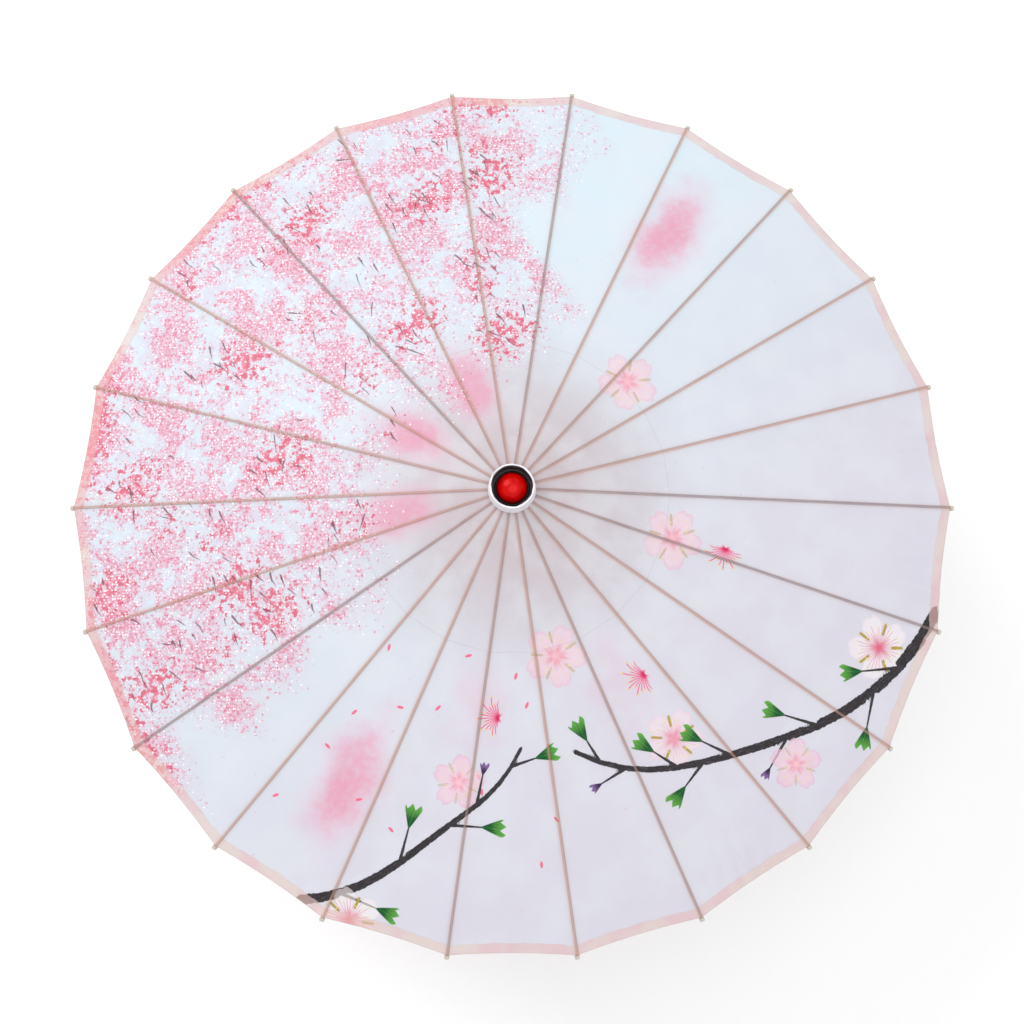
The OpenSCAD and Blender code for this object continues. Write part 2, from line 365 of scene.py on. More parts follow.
# %% Cloud density
way = np.degrees(np.arctan2(py, px)) % 360
reach = np.hypot(px, py)
wander = 14 * np.sin(px / 31) * np.cos(py / 27) + 9 * np.sin((px + py) / 17)
cloud = smooth(way + wander * 0.6, 75, 95) * (1 - smooth(way + wander * 0.6, 205, 225))
cloud = cloud * smooth(reach + wander * 2.2, 90, 190)
cloud = np.clip(cloud * (0.82 + 0.18 * np.sin(px / 41 + 1) * np.cos(py / 33)), 0, 1)
deep = stains(px, py, [(a, b, r * 1.3, r * 0.95, 35, s) for a, b, r, s in CLUSTERS])
rim_dabs = 1 - smooth(gore_edge, 6, 42)
deep = np.maximum(deep, rim_dabs * cloud * (0.5 + 0.5 * np.sin(np.radians(9 * way))))
wash = stains(px, py, WASHES)
hem_pink = 0.15 + 0.5 * cloud * (0.5 + 0.5 * np.sin(np.radians(11 * way)))
print("clouds cover", round(float(cloud.mean()), 2), "of the paper")

# %% [markdown]
# ## Small helpers for shader nodes
#
# A material is a graph, and written out in full each node takes several lines. These helpers
# keep it readable: `feed` gives a socket either a wire or a plain value, `calc` is one Math
# node, `ramp` turns a range of values into a soft 0 to 1 mask, and `tint` mixes two colours.

# %% Node helpers
def feed(tree, socket, value):
    """Wires a socket to another, or sets its plain value."""
    if isinstance(value, bpy.types.NodeSocket):
        tree.links.new(value, socket)
    else:
        socket.default_value = value


def calc(tree, operation, *values):
    """One Math node on the given values."""
    node = tree.nodes.new("ShaderNodeMath")
    node.operation = operation
    for socket, value in zip(node.inputs, values):
        feed(tree, socket, value)
    return node.outputs[0]


def ramp(tree, value, low, high, start=0.0, end=1.0):
    """A smooth change from start to end while value goes from low to high."""
    node = tree.nodes.new("ShaderNodeMapRange")
    node.interpolation_type = "SMOOTHSTEP"
    for socket, v in zip(node.inputs[:5], (value, low, high, start, end)):
        feed(tree, socket, v)
    return node.outputs[0]


def tint(tree, share, first, second, how="MIX"):
    """Mixes second over first by share."""
    node = tree.nodes.new("ShaderNodeMix")
    node.data_type, node.blend_type = "RGBA", how
    for index, v in ((0, share), (6, first), (7, second)):
        feed(tree, node.inputs[index], v)
    return node.outputs[2]


def apart(tree, vector):
    """The three parts of a vector."""
    node = tree.nodes.new("ShaderNodeSeparateXYZ")
    feed(tree, node.inputs[0], vector)
    return node.outputs


def together(tree, x=0.0, y=0.0, z=0.0):
    """A vector from three parts."""
    node = tree.nodes.new("ShaderNodeCombineXYZ")
    for socket, v in zip(node.inputs, (x, y, z)):
        feed(tree, socket, v)
    return node.outputs[0]


def noise(tree, vector, scale, detail=2.0, rough=0.5):
    """A cloudy value from 0 to 1."""
    node = tree.nodes.new("ShaderNodeTexNoise")
    feed(tree, node.inputs["Vector"], vector)
    feed(tree, node.inputs["Scale"], scale)
    node.inputs["Detail"].default_value = detail
    node.inputs["Roughness"].default_value = rough
    return node.outputs[0]


def cells(tree, vector, scale, feature="F1"):
    """Distance to the nearest of many scattered dots, and that dot's random colour parts."""
    node = tree.nodes.new("ShaderNodeTexVoronoi")
    node.voronoi_dimensions, node.feature = "2D", feature
    feed(tree, node.inputs["Vector"], vector)
    feed(tree, node.inputs["Scale"], scale)
    return node.outputs["Distance"], node.outputs.get("Color")


def paint(hexcode):
    """A colour in the linear values that the shader works with, from its usual six digits."""
    parts = [int(hexcode[i:i + 2], 16) / 255 for i in (0, 2, 4)]
    return tuple(p / 12.92 if p < 0.04045 else ((p + 0.055) / 1.055) ** 2.4
                 for p in parts) + (1.0,)


def effect(title, takes, gives):
    """A node group with named inputs (name, kind, start value) and outputs (name, kind)."""
    tree = bpy.data.node_groups.new(title, "ShaderNodeTree")
    for name, kind, value in takes:
        socket = tree.interface.new_socket(name, in_out="INPUT", socket_type="NodeSocket" + kind)
        if value is not None:
            socket.default_value = value
    for name, kind in gives:
        tree.interface.new_socket(name, in_out="OUTPUT", socket_type="NodeSocket" + kind)
    return tree, tree.nodes.new("NodeGroupInput").outputs, tree.nodes.new("NodeGroupOutput").inputs


def place(tree, group, **values):
    """Puts a node group in a material, with its own values. Underscores stand for spaces."""
    node = tree.nodes.new("ShaderNodeGroup")
    node.node_tree = group
    for name, value in values.items():
        feed(tree, node.inputs[name.replace("_", " ")], value)
    return node.outputs


def carried(tree, title):
    """The numbers that the mesh carries under this name."""
    node = tree.nodes.new("ShaderNodeAttribute")
    node.attribute_name = title
    return node.outputs["Vector"], node.outputs["Fac"]


print("node helpers ready")

# %% [markdown]
# ## A painted twig
#
# Ink laid with a loaded brush has a slightly ragged edge, and dries lighter where the hairs of
# the brush part. The group takes the offset from the twig's middle line and its half width, and
# lets a slow noise push the edge in and out. The plain distance keeps the paint from running
# past the twig's end, where the offset alone would carry on for ever.

# %% Twig group
twig_paint, i, o = effect("twig paint", [
    ("Offset", "Float", 0.0), ("Along", "Float", 0.0), ("Half Width", "Float", 1.0),
    ("Distance", "Float", 0.0), ("Dark", "Color", paint("332E32")),
    ("Light", "Color", paint("6A6266"))], [("Mask", "Float"), ("Color", "Color")])
t = twig_paint
rough_edge = calc(t, "MULTIPLY_ADD", noise(t, together(t, i["Along"], i["Offset"]), 0.28, 3),
                  0.7, 0.68)
width = calc(t, "MULTIPLY", i["Half Width"], rough_edge)
out = calc(t, "SUBTRACT", calc(t, "ABSOLUTE", i["Offset"]), width)
mask = calc(t, "MULTIPLY", ramp(t, out, 0.25, -0.25),
            ramp(t, calc(t, "SUBTRACT", i["Distance"], i["Half Width"]), 1.5, 1.0))
# where the nearest stroke changes from one to another the offset swings through nothing, but
# the plain distance stays large, so such places are struck out
stray = calc(t, "SUBTRACT", i["Distance"], calc(t, "ABSOLUTE", i["Offset"]))
mask = calc(t, "MULTIPLY", mask, ramp(t, stray, 1.9, 1.3))
feed(t, o["Mask"], mask)
hairs = noise(t, together(t, calc(t, "MULTIPLY", i["Along"], 0.12), i["Offset"]), 1.1, 3, 0.7)
feed(t, o["Color"], tint(t, ramp(t, hairs, 0.5, 0.7, 0.0, 0.8), i["Dark"], i["Light"]))
print("twig group has", len(t.nodes), "nodes")

# %% [markdown]
# ## A painted leaf
#
# Each leaf is one stroke of a flat brush: narrow at the stem, spreading like a fan, and ending
# in two or three teeth where the hairs lift. The paint is darker where the stroke starts. A
# purple bud uses the same stroke in another colour, as a painter would.

# %% Leaf group
leaf_paint, i, o = effect("leaf paint", [("Place", "Vector", None), ("Reach", "Float", 0.0)],
                          [("Mask", "Float"), ("Color", "Color")])
t = leaf_paint
f, l, tone = apart(t, i["Place"])
a = calc(t, "MULTIPLY_ADD", f, 0.5, 0.5)
side = calc(t, "ABSOLUTE", l)
fan = calc(t, "MULTIPLY_ADD", calc(t, "POWER", calc(t, "MAXIMUM", a, 0.001), 0.95), 0.84, 0.05)
fan = calc(t, "SUBTRACT", fan, calc(t, "MULTIPLY", ramp(t, a, 0.75, 1.05), 0.2))
teeth = calc(t, "ABSOLUTE", calc(t, "SUBTRACT", calc(t, "FRACT",
             calc(t, "MULTIPLY_ADD", l, 1.45, 0.28)), 0.5))
end = calc(t, "MULTIPLY_ADD", teeth, -0.5, 1.02)
mask = calc(t, "MULTIPLY", ramp(t, calc(t, "SUBTRACT", side, fan), 0.03, -0.03),
            ramp(t, calc(t, "SUBTRACT", a, end), 0.02, -0.02))
mask = calc(t, "MULTIPLY", mask, ramp(t, a, 0.0, 0.03))
feed(t, o["Mask"], calc(t, "MULTIPLY", mask, ramp(t, i["Reach"], 1.18, 1.12)))
strokes = noise(t, together(t, calc(t, "MULTIPLY", f, 1.2), calc(t, "MULTIPLY", l, 7.0), tone), 1.0, 3)
fade = calc(t, "ADD", a, calc(t, "MULTIPLY_ADD", strokes, 0.9, -0.45))
green = tint(t, ramp(t, fade, 0.25, 0.95), paint("0B5A28"), paint("66B04A"))
green = tint(t, ramp(t, side, 0.06, 0.0, 0.0, 0.5), green, paint("2B8C3C"))
purple = tint(t, ramp(t, fade, 0.3, 0.9), paint("3B2550"), paint("8C6AA6"))
feed(t, o["Color"], tint(t, tone, green, purple))
print("leaf group has", len(t.nodes), "nodes")

# %% [markdown]
# ## A painted blossom
#
# Five broad petals, each a wash that is pale at the rim and streaked with deep pink at the
# heart, so that the paper shows through. In angle, `p` is 0 along the middle of a petal and 1
# in the gap between two, and the rim is drawn at a radius that falls away near the gap and has
# a small notch in the middle. Fine stamens stand on top, each a thin ray with a yellow dot.

# %% Blossom group
blossom_paint, i, o = effect("blossom paint", [
    ("Place", "Vector", None), ("Reach", "Float", 0.0)],
    [("Mask", "Float"), ("Color", "Color")])
t = blossom_paint
x, y, white = apart(t, i["Place"])
r = calc(t, "SQRT", calc(t, "ADD", calc(t, "MULTIPLY", x, x), calc(t, "MULTIPLY", y, y)))
turn = calc(t, "DIVIDE", calc(t, "ARCTAN2", y, x), 2 * math.pi)
fifth = calc(t, "MULTIPLY_ADD", turn, 5.0, 10.5)
p = calc(t, "MULTIPLY", calc(t, "ABSOLUTE", calc(t, "SUBTRACT",
         calc(t, "FRACT", fifth), 0.5)), 2.0)
number = calc(t, "FLOOR", fifth)
dome = calc(t, "SQRT", calc(t, "MAXIMUM", calc(t, "SUBTRACT", 1.0,
            calc(t, "POWER", p, 2.0)), 0.0))
rim = calc(t, "MULTIPLY_ADD", dome, 0.76, 0.2)
rim = calc(t, "SUBTRACT", rim, ramp(t, p, 0.22, 0.0, 0.0, 0.07))
rim = calc(t, "ADD", rim, calc(t, "MULTIPLY_ADD", noise(t, i["Place"], 3.0, 2), 0.16, -0.08))
wash_mask = ramp(t, calc(t, "SUBTRACT", r, rim), 0.015, -0.015)
share = calc(t, "DIVIDE", r, calc(t, "MAXIMUM", rim, 0.05))
streak = noise(t, together(t, calc(t, "MULTIPLY", turn, 46.0), r), 1.0, 2)
heart = ramp(t, calc(t, "SUBTRACT", share, calc(t, "MULTIPLY", streak, 0.5)), 0.24, -0.2)
blotch = noise(t, together(t, x, y, number), 2.2, 3)
petal = tint(t, blotch, paint("EAB9CF"), paint("F2DAE6"))
petal = tint(t, ramp(t, share, 0.8, 1.0, 0.0, 0.5), petal, paint("DFA0C2"))
pale = tint(t, blotch, paint("F6ECEE"), paint("FFFEFC"))
pale = tint(t, ramp(t, share, 0.9, 1.0, 0.0, 0.35), pale, paint("F4D2D6"))
petal = tint(t, white, petal, pale)
petal = tint(t, heart, petal, paint("E4527F"))
gap = ramp(t, p, 0.86, 1.0)
petal = tint(t, calc(t, "MULTIPLY", gap, ramp(t, r, 0.6, 0.2, 0.0, 0.6)), petal, paint("DD6E92"))
cover = calc(t, "MULTIPLY", wash_mask, calc(t, "ADD", calc(t, "MULTIPLY_ADD", white, -0.2, 0.66),
             calc(t, "MULTIPLY", heart, 0.2)))
# the little green leaf ends between the petals
sliver = calc(t, "MULTIPLY", calc(t, "MULTIPLY", calc(t, "SUBTRACT", 1.0, p), r), 0.628)
sepal = calc(t, "MULTIPLY", ramp(t, sliver, 0.055, 0.03),
             calc(t, "MULTIPLY", ramp(t, r, 0.34, 0.4), ramp(t, r, 0.78, 0.7)))
sepal = calc(t, "MULTIPLY", sepal, ramp(t, white, 0.05, 0.5, 0.55, 1.0))
# stamens: rays with a dot at the end of each
ray = calc(t, "MULTIPLY_ADD", turn, 34.0, 70.0)
which = calc(t, "FLOOR", ray)
hash_ray = calc(t, "FRACT", calc(t, "MULTIPLY", calc(t, "SINE", calc(t, "MULTIPLY", which, 91.7)), 437.5))
off_ray = calc(t, "MULTIPLY", calc(t, "MULTIPLY", calc(t, "SUBTRACT",
               calc(t, "FRACT", ray), 0.5), r), 0.1848)
tip = calc(t, "MULTIPLY_ADD", hash_ray, 0.32, 0.4)
thread = calc(t, "MULTIPLY", ramp(t, calc(t, "ABSOLUTE", off_ray), 0.012, 0.004),
              ramp(t, calc(t, "SUBTRACT", r, tip), 0.0, -0.02))
dot = calc(t, "SQRT", calc(t, "ADD", calc(t, "POWER", off_ray, 2.0),
           calc(t, "POWER", calc(t, "SUBTRACT", r, tip), 2.0)))
dot = ramp(t, dot, 0.03, 0.014)
colour = tint(t, sepal, petal, paint("B9A64A"))
colour = tint(t, calc(t, "MULTIPLY", thread, 0.8), colour,
              tint(t, white, paint("FFE3EA"), paint("E0507E")))
colour = tint(t, dot, colour, paint("EFE08A"))
cover = calc(t, "MAXIMUM", calc(t, "MAXIMUM", cover, sepal),
             calc(t, "MAXIMUM", dot, calc(t, "MULTIPLY", thread, 0.9)))
feed(t, o["Mask"], calc(t, "MULTIPLY", cover, ramp(t, i["Reach"], 1.2, 1.15)))
feed(t, o["Color"], colour)
print("blossom group has", len(t.nodes), "nodes")

# %% [markdown]
# ## A burst of stamens
#
# Some blossoms are seen from the side, and show as a half fan of deep pink threads. The same
# ray trick as above, but only for angles within about eighty degrees of the heading.

# %% Stamen group
stamen_paint, i, o = effect("stamen paint", [("Place", "Vector", None), ("Reach", "Float", 0.0)],
                            [("Mask", "Float"), ("Color", "Color")])
t = stamen_paint
f, l, tone = apart(t, i["Place"])
f = calc(t, "ADD", f, 0.3)
r = calc(t, "SQRT", calc(t, "ADD", calc(t, "MULTIPLY", f, f), calc(t, "MULTIPLY", l, l)))
turn = calc(t, "DIVIDE", calc(t, "ARCTAN2", l, f), 2 * math.pi)
bent = calc(t, "MULTIPLY_ADD", calc(t, "MULTIPLY", r, turn), -0.35, turn)
ray = calc(t, "MULTIPLY_ADD", bent, 38.0, 80.0)
which = calc(t, "FLOOR", ray)
hash_ray = calc(t, "FRACT", calc(t, "MULTIPLY", calc(t, "SINE", calc(t, "MULTIPLY", which, 57.3)), 913.1))
off_ray = calc(t, "MULTIPLY", calc(t, "MULTIPLY", calc(t, "SUBTRACT",
               calc(t, "FRACT", ray), 0.5), r), 0.1653)
tip = calc(t, "MULTIPLY_ADD", hash_ray, 0.5, 0.62)
inside = ramp(t, calc(t, "ABSOLUTE", turn), 0.24, 0.22)
thread = calc(t, "MULTIPLY", ramp(t, calc(t, "ABSOLUTE", off_ray), 0.024, 0.008),
              calc(t, "MULTIPLY", inside, ramp(t, calc(t, "SUBTRACT", r, tip), 0.0, -0.03)))
heart = calc(t, "MULTIPLY", ramp(t, r, 0.27, 0.08), ramp(t, calc(t, "ABSOLUTE", turn), 0.4, 0.3))
dot = calc(t, "SQRT", calc(t, "ADD", calc(t, "POWER", off_ray, 2.0),
           calc(t, "POWER", calc(t, "SUBTRACT", r, tip), 2.0)))
dot = calc(t, "MULTIPLY", ramp(t, dot, 0.05, 0.025), inside)
colour = tint(t, dot, tint(t, heart, paint("EE5A90"), paint("D92C68")), paint("F0DC86"))
mask = calc(t, "MAXIMUM", calc(t, "MAXIMUM", thread, dot), calc(t, "MULTIPLY", heart, 0.85))
feed(t, o["Mask"], calc(t, "MULTIPLY", mask, ramp(t, i["Reach"], 1.2, 1.12)))
feed(t, o["Color"], colour)
print("stamen group has", len(t.nodes), "nodes")

# %% [markdown]
# ## Clouds of blossom
#
# A distant tree in bloom is dabbed on with the end of the brush: hundreds of dots, pale ones
# first, then pink, then a few deep ones, and last a scatter of white. Scattered cells give the
# dots, because each cell has a middle to measure from and a random colour that decides how big
# its dot is and whether it is there at all.

# %% Cloud group
cloud_paint, i, o = effect("cloud paint", [
    ("Place", "Vector", None), ("Cloud", "Float", 0.0), ("Deep", "Float", 0.0)],
    [("Mask", "Float"), ("Color", "Color")])
t = cloud_paint
patch = noise(t, i["Place"], 0.026, 4, 0.6)
fine = noise(t, i["Place"], 0.12, 3, 0.6)
thick = calc(t, "MULTIPLY", i["Cloud"], ramp(t, calc(t, "MULTIPLY_ADD", fine, 0.5, patch), 0.59, 0.86))
torn = calc(t, "MULTIPLY", i["Deep"], ramp(t, fine, 0.36, 0.56, 0.35, 1.0))
thick = calc(t, "MAXIMUM", thick, calc(t, "MULTIPLY", torn, 0.75))


def dabs(vector, scale, amount, low, high):
    """A layer of dots: the share of cells that hold one is amount, and their size in cells
    runs from low to high with the cell's own random number."""
    distance, colour = cells(t, vector, scale)
    red, green, blue = apart(t, colour)
    size = calc(t, "MULTIPLY_ADD", red, high - low, low)
    there = ramp(t, calc(t, "SUBTRACT", green, amount), 0.01, -0.01)
    return calc(t, "MULTIPLY", there, ramp(t, calc(t, "SUBTRACT", distance, size), 0.07, -0.07)), blue


def blots(scale, start, amount, strength):
    """A layer of irregular blots: a cloudy value that passes a level, which drops as the
    amount rises, so that blots first appear, then grow and run together."""
    value = noise(t, i["Place"], scale, 3, 0.68)
    level = calc(t, "MULTIPLY_ADD", amount, -strength, start)
    return ramp(t, calc(t, "SUBTRACT", value, level), -0.015, 0.025), value


present = ramp(t, thick, 0.02, 0.1)
veil = calc(t, "MULTIPLY", i["Cloud"], ramp(t, noise(t, i["Place"], 0.05, 3, 0.6), 0.42, 0.6, 0.0, 0.45))
mask = calc(t, "MAXIMUM", veil, calc(t, "MULTIPLY", thick, 0.7))
colour = tint(t, thick, paint("DCCFE0"), paint("E9BFD2"))
layer, value = blots(0.2, 0.66, thick, 0.22)
layer = calc(t, "MULTIPLY", layer, present)
colour = tint(t, layer, colour, tint(t, ramp(t, value, 0.5, 0.7), paint("E6B6CB"), paint("E89FB8")))
mask = calc(t, "MAXIMUM", mask, calc(t, "MULTIPLY", layer, 0.75))
layer, value = blots(0.36, 0.67, thick, 0.19)
layer = calc(t, "MULTIPLY", layer, present)
colour = tint(t, layer, colour, tint(t, ramp(t, value, 0.5, 0.68), paint("E597B2"), paint("DF6088")))
mask = calc(t, "MAXIMUM", mask, calc(t, "MULTIPLY", layer, 0.85))
layer, random = dabs(i["Place"], 0.26, calc(t, "MULTIPLY", thick, 0.36), 0.16, 0.38)
colour = tint(t, layer, colour, tint(t, random, paint("E0668A"), paint("EFAABF")))
mask = calc(t, "MAXIMUM", mask, calc(t, "MULTIPLY", layer, 0.8))
layer, value = blots(0.17, 0.73, torn, 0.43)
layer = calc(t, "MULTIPLY", layer, ramp(t, i["Deep"], 0.1, 0.3))
colour = tint(t, layer, colour, tint(t, ramp(t, value, 0.42, 0.62), paint("EE7C9A"), paint("DC3A66")))
mask = calc(t, "MAXIMUM", mask, calc(t, "MULTIPLY", layer, 0.82))
layer, random = dabs(i["Place"], 0.36,
                         calc(t, "MULTIPLY_ADD", thick, 0.42, calc(t, "MULTIPLY", i["Cloud"], 0.1)),
                     0.18, 0.38)
colour = tint(t, layer, colour, paint("FBFAFD"))
mask = calc(t, "MAXIMUM", mask, layer)
feed(t, o["Mask"], mask)
feed(t, o["Color"], colour)
print("cloud group has", len(t.nodes), "nodes")

# %% [markdown]
# ## The paper itself
#
# The cover is a thin paper with a silk-like face, soaked in oil. Close to, it has fine crossed
# threads; further off, it clouds a little where the oil went in more. It is stiff enough to
# have a soft sheen, and thin enough that light comes through from the other side.

# %% Paper group
paper_face, i, o = effect("paper face", [("Place", "Vector", None)],
                          [("Height", "Float"), ("Clouding", "Float")])
t = paper_face
x, y, z = apart(t, i["Place"])
threads = calc(t, "ADD", calc(t, "SINE", calc(t, "MULTIPLY", x, 9.0)),
               calc(t, "SINE", calc(t, "MULTIPLY", y, 9.0)))
fibre = noise(t, i["Place"], 1.4, 3, 0.6)
feed(t, o["Height"], calc(t, "MULTIPLY_ADD", fibre, 0.8, calc(t, "MULTIPLY", threads, 0.16)))
feed(t, o["Clouding"], noise(t, i["Place"], 0.02, 4, 0.55))
print("paper group has", len(t.nodes), "nodes")

# %% [markdown]
# ## Putting the cover together
#
# The layers go on in the order in which the maker puts them on: paper, stains, clouds, thin
# twigs, petals, the dark spray, leaves and blossoms, then the hem that is folded over at the
# rim, and last the ribs, whose glued lines darken everything that lies over them. The paper
# also carries painted light, cooler and brighter towards the upper left, and painted shade at
# the hem's fold, under the pivot thread and beside each rib. Light that falls on the other side
# comes through a third of the way, so part of the surface is a Translucent shader.

# %% Canopy material
canopy_look = bpy.data.materials.new("painted paper")
canopy_look.use_nodes = True
t = canopy_look.node_tree
shader = t.nodes["Principled BSDF"]
here, _ = carried(t, "place")
fold, _ = carried(t, "fold")
clouds, _ = carried(t, "clouds")
gaps, _ = carried(t, "gaps")
more_gaps, _ = carried(t, "more gaps")
X, Y, hem_share = apart(t, here)
flat = together(t, X, Y, 0.0)
across, run, edge = apart(t, fold)
cloud_share, deep_share, stain = apart(t, clouds)
face = place(t, paper_face, Place=flat)
# painted light: the paper is painted cooler and brighter towards the upper left, where the window light
# stands, and greyer lavender towards the lower right
painted_light_side = ramp(t, calc(t, "ADD", calc(t, "MULTIPLY", X, 0.8), calc(t, "MULTIPLY", Y, -1.0)), -330, 330)
colour = tint(t, painted_light_side, paint("DCE9F0"), paint("DEDCE5"))
colour = tint(t, ramp(t, run, 190, 30, 0.0, 0.8), colour, paint("CDBEC2"))
colour = tint(t, ramp(t, face["Clouding"], 0.4, 0.62, 0.0, 0.4), colour, paint("E3E6EC"))
soft = noise(t, flat, 0.03, 4, 0.6)
stain_share = ramp(t, calc(t, "MULTIPLY_ADD", soft, 0.6, stain), 0.42, 1.05)
grit = noise(t, flat, 0.16, 4, 0.7)
stain_share = calc(t, "MULTIPLY", stain_share, ramp(t, grit, 0.3, 0.62, 0.78, 1.0))
colour = tint(t, calc(t, "MULTIPLY", stain_share, 0.9), colour,
              tint(t, ramp(t, stain_share, 0.3, 0.9), paint("E8BCD0"), paint("E8A6BE")))
dab = place(t, cloud_paint, Place=flat, Cloud=cloud_share, Deep=deep_share)
colour = tint(t, dab["Mask"], colour, dab["Color"])
gap_twig, gap_thin, gap_leaf = apart(t, gaps)
gap_early, gap_late, gap_spray = apart(t, more_gaps)
thin_twig, _ = carried(t, "thin twig")
v = apart(t, thin_twig)
ink = place(t, twig_paint, Offset=v[0], Along=v[1], Half_Width=v[2], Distance=gap_thin,
            Dark=paint("6A3A48"), Light=paint("B06A7C"))
colour = tint(t, calc(t, "MULTIPLY", ink["Mask"], 0.8), colour, ink["Color"])
fallen_petal, _ = carried(t, "petal")
v = apart(t, fallen_petal)
oval = calc(t, "ADD", calc(t, "POWER", v[0], 2.0), calc(t, "MULTIPLY", calc(t, "POWER", v[1], 2.0), 6.0))
colour = tint(t, ramp(t, oval, 0.6, 0.4, 0.0, 0.9), colour, paint("F2668C"))
bloom, _ = carried(t, "blossom")
one = place(t, blossom_paint, Place=bloom, Reach=gap_early)
colour = tint(t, one["Mask"], colour, one["Color"])
main_twig, _ = carried(t, "twig")
v = apart(t, main_twig)
ink = place(t, twig_paint, Offset=v[0], Along=v[1], Half_Width=v[2], Distance=gap_twig)
colour = tint(t, ink["Mask"], colour, ink["Color"])
bloom, _ = carried(t, "late blossom")
two = place(t, blossom_paint, Place=bloom, Reach=gap_late)
colour = tint(t, two["Mask"], colour, two["Color"])
stroke, _ = carried(t, "leaf")
leaf_node = place(t, leaf_paint, Place=stroke, Reach=gap_leaf)
colour = tint(t, leaf_node["Mask"], colour, leaf_node["Color"])
burst, _ = carried(t, "stamens")
rays = place(t, stamen_paint, Place=burst, Reach=gap_spray)
colour = tint(t, rays["Mask"], colour, rays["Color"])
# the hem: a folded strip, patched in peach and pink, with painted shade along the crease at its inner edge
# and along the folded lip
wobble = calc(t, "MULTIPLY_ADD", noise(t, flat, 0.09, 2), 4.0, 7.0)
band = calc(t, "SUBTRACT", edge, wobble)
strip = ramp(t, band, 0.4, -0.4)
patches = noise(t, flat, 0.028, 3, 0.6)
hem_colour = tint(t, ramp(t, patches, 0.4, 0.6), paint("E8DCCC"), paint("E7C6C4"))
hem_colour = tint(t, calc(t, "MULTIPLY", hem_share, 0.9), hem_colour, paint("E8788E"))
colour = tint(t, calc(t, "MULTIPLY", strip, ramp(t, hem_share, 0.2, 0.9, 0.55, 0.8)), colour, hem_colour)
# painted shade: a darker line along the inner crease of the fold, and a darker rim along the lip
crease = calc(t, "MULTIPLY", ramp(t, calc(t, "ABSOLUTE", band), 0.7, 0.1), 0.16)
lip = ramp(t, edge, 1.3, 0.3, 0.0, 0.25)
colour = tint(t, calc(t, "MAXIMUM", crease, lip), colour, paint("B9A69C"))
# painted shadow: a faint dark ring where the pivot thread runs under the paper
ring = ramp(t, calc(t, "ABSOLUTE", calc(t, "SUBTRACT", run, 143.4)), 0.6, 0.2, 0.0, 0.16)
colour = tint(t, ring, colour, paint("9C94A0"))
# the ribs seen through the paper: glue-soaked lines in their own colour, then painted shade along one side
# of each and a soft painted shade round it
side = calc(t, "ABSOLUTE", across)
wander = calc(t, "MULTIPLY_ADD", noise(t, together(t, run, side), 0.05, 2), 0.7, -0.35)
side = calc(t, "ADD", side, wander)
line = ramp(t, side, 1.75, 0.7)
_, rib_shade = carried(t, "rib shade")
wood = noise(t, together(t, calc(t, "MULTIPLY", run, 0.05), across), 0.9, 3, 0.6)
line_colour = tint(t, rib_shade, paint("D9AE9C"), paint("A3949A"))
line_colour = tint(t, ramp(t, run, 130, 25, 0.0, 0.6), line_colour, paint("C79A98"))
line_colour = tint(t, ramp(t, wood, 0.35, 0.7, 0.0, 0.4), line_colour, paint("EBD3C4"))
colour = tint(t, calc(t, "MULTIPLY", line, 0.76), colour,
              tint(t, 0.45, line_colour, tint(t, 1.0, colour, line_colour, "MULTIPLY")))
# painted shade: a darker line along one side of each rib, the side away from the light
shade_side = ramp(t, calc(t, "ABSOLUTE", calc(t, "SUBTRACT", across, 1.3)), 0.8, 0.1, 0.0, 0.4)
colour = tint(t, shade_side, colour, tint(t, 1.0, colour, paint("A18C8A"), "MULTIPLY"))
# painted shadow: a soft darkening a few millimetres either side of each rib, where it lies under the paper
colour = tint(t, ramp(t, side, 5.0, 1.5, 0.0, 0.16), colour,
              tint(t, 1.0, colour, paint("E8C8BC"), "MULTIPLY"))
feed(t, shader.inputs["Base Color"], colour)
sheen = ramp(t, noise(t, flat, 0.05, 3), 0.3, 0.7, 0.42, 0.58)
feed(t, shader.inputs["Roughness"], sheen)
shader.inputs["Specular IOR Level"].default_value = 0.35
height = calc(t, "MULTIPLY_ADD", face["Height"], 0.05, calc(t, "MULTIPLY", ramp(t, side, 2.6, 1.4), 0.25))
height = calc(t, "MULTIPLY_ADD", strip, 0.12, height)
bump = t.nodes.new("ShaderNodeBump")
bump.inputs["Strength"].default_value = 0.5
bump.inputs["Distance"].default_value = 0.001
feed(t, bump.inputs["Height"], height)
feed(t, shader.inputs["Normal"], bump.outputs[0])
glow = t.nodes.new("ShaderNodeBsdfTranslucent")
feed(t, glow.inputs["Color"], colour)
feed(t, glow.inputs["Normal"], bump.outputs[0])
blend = t.nodes.new("ShaderNodeMixShader")
blend.inputs[0].default_value = 0.3
feed(t, blend.inputs[1], shader.outputs[0])
feed(t, blend.inputs[2], glow.outputs[0])
feed(t, t.nodes["Material Output"].inputs[0], blend.outputs[0])
print("the cover's material has", len(t.nodes), "nodes")

# %% [markdown]
# ## Cutting the gores
#
# Each gore becomes a closed shell: the outer face, the inner face 0.6 mm below it, and a narrow
# wall all round. It rides on its rib. When the runner comes down and the ribs swing in, the
# real paper pleats between them.

# %% Gores
def shell(top, bottom, rows, columns):
    """Points and faces of a thin closed sheet: the upper grid, the lower grid turned over, and
    a wall along the outline that joins them."""
    count = rows * columns
    faces = grid_faces(rows, columns)
    index = np.arange(count).reshape(rows, columns)
    outline = np.concatenate([index[0, :-1], index[:-1, -1], index[-1, :0:-1], index[:0:-1, 0]])
    after = np.roll(outline, -1)
    wall = np.stack([outline, after, after + count, outline + count], -1)
    return (np.vstack([top.reshape(-1, 3), bottom.reshape(-1, 3)]),
            np.vstack([faces[:, ::-1], faces + count, wall]))


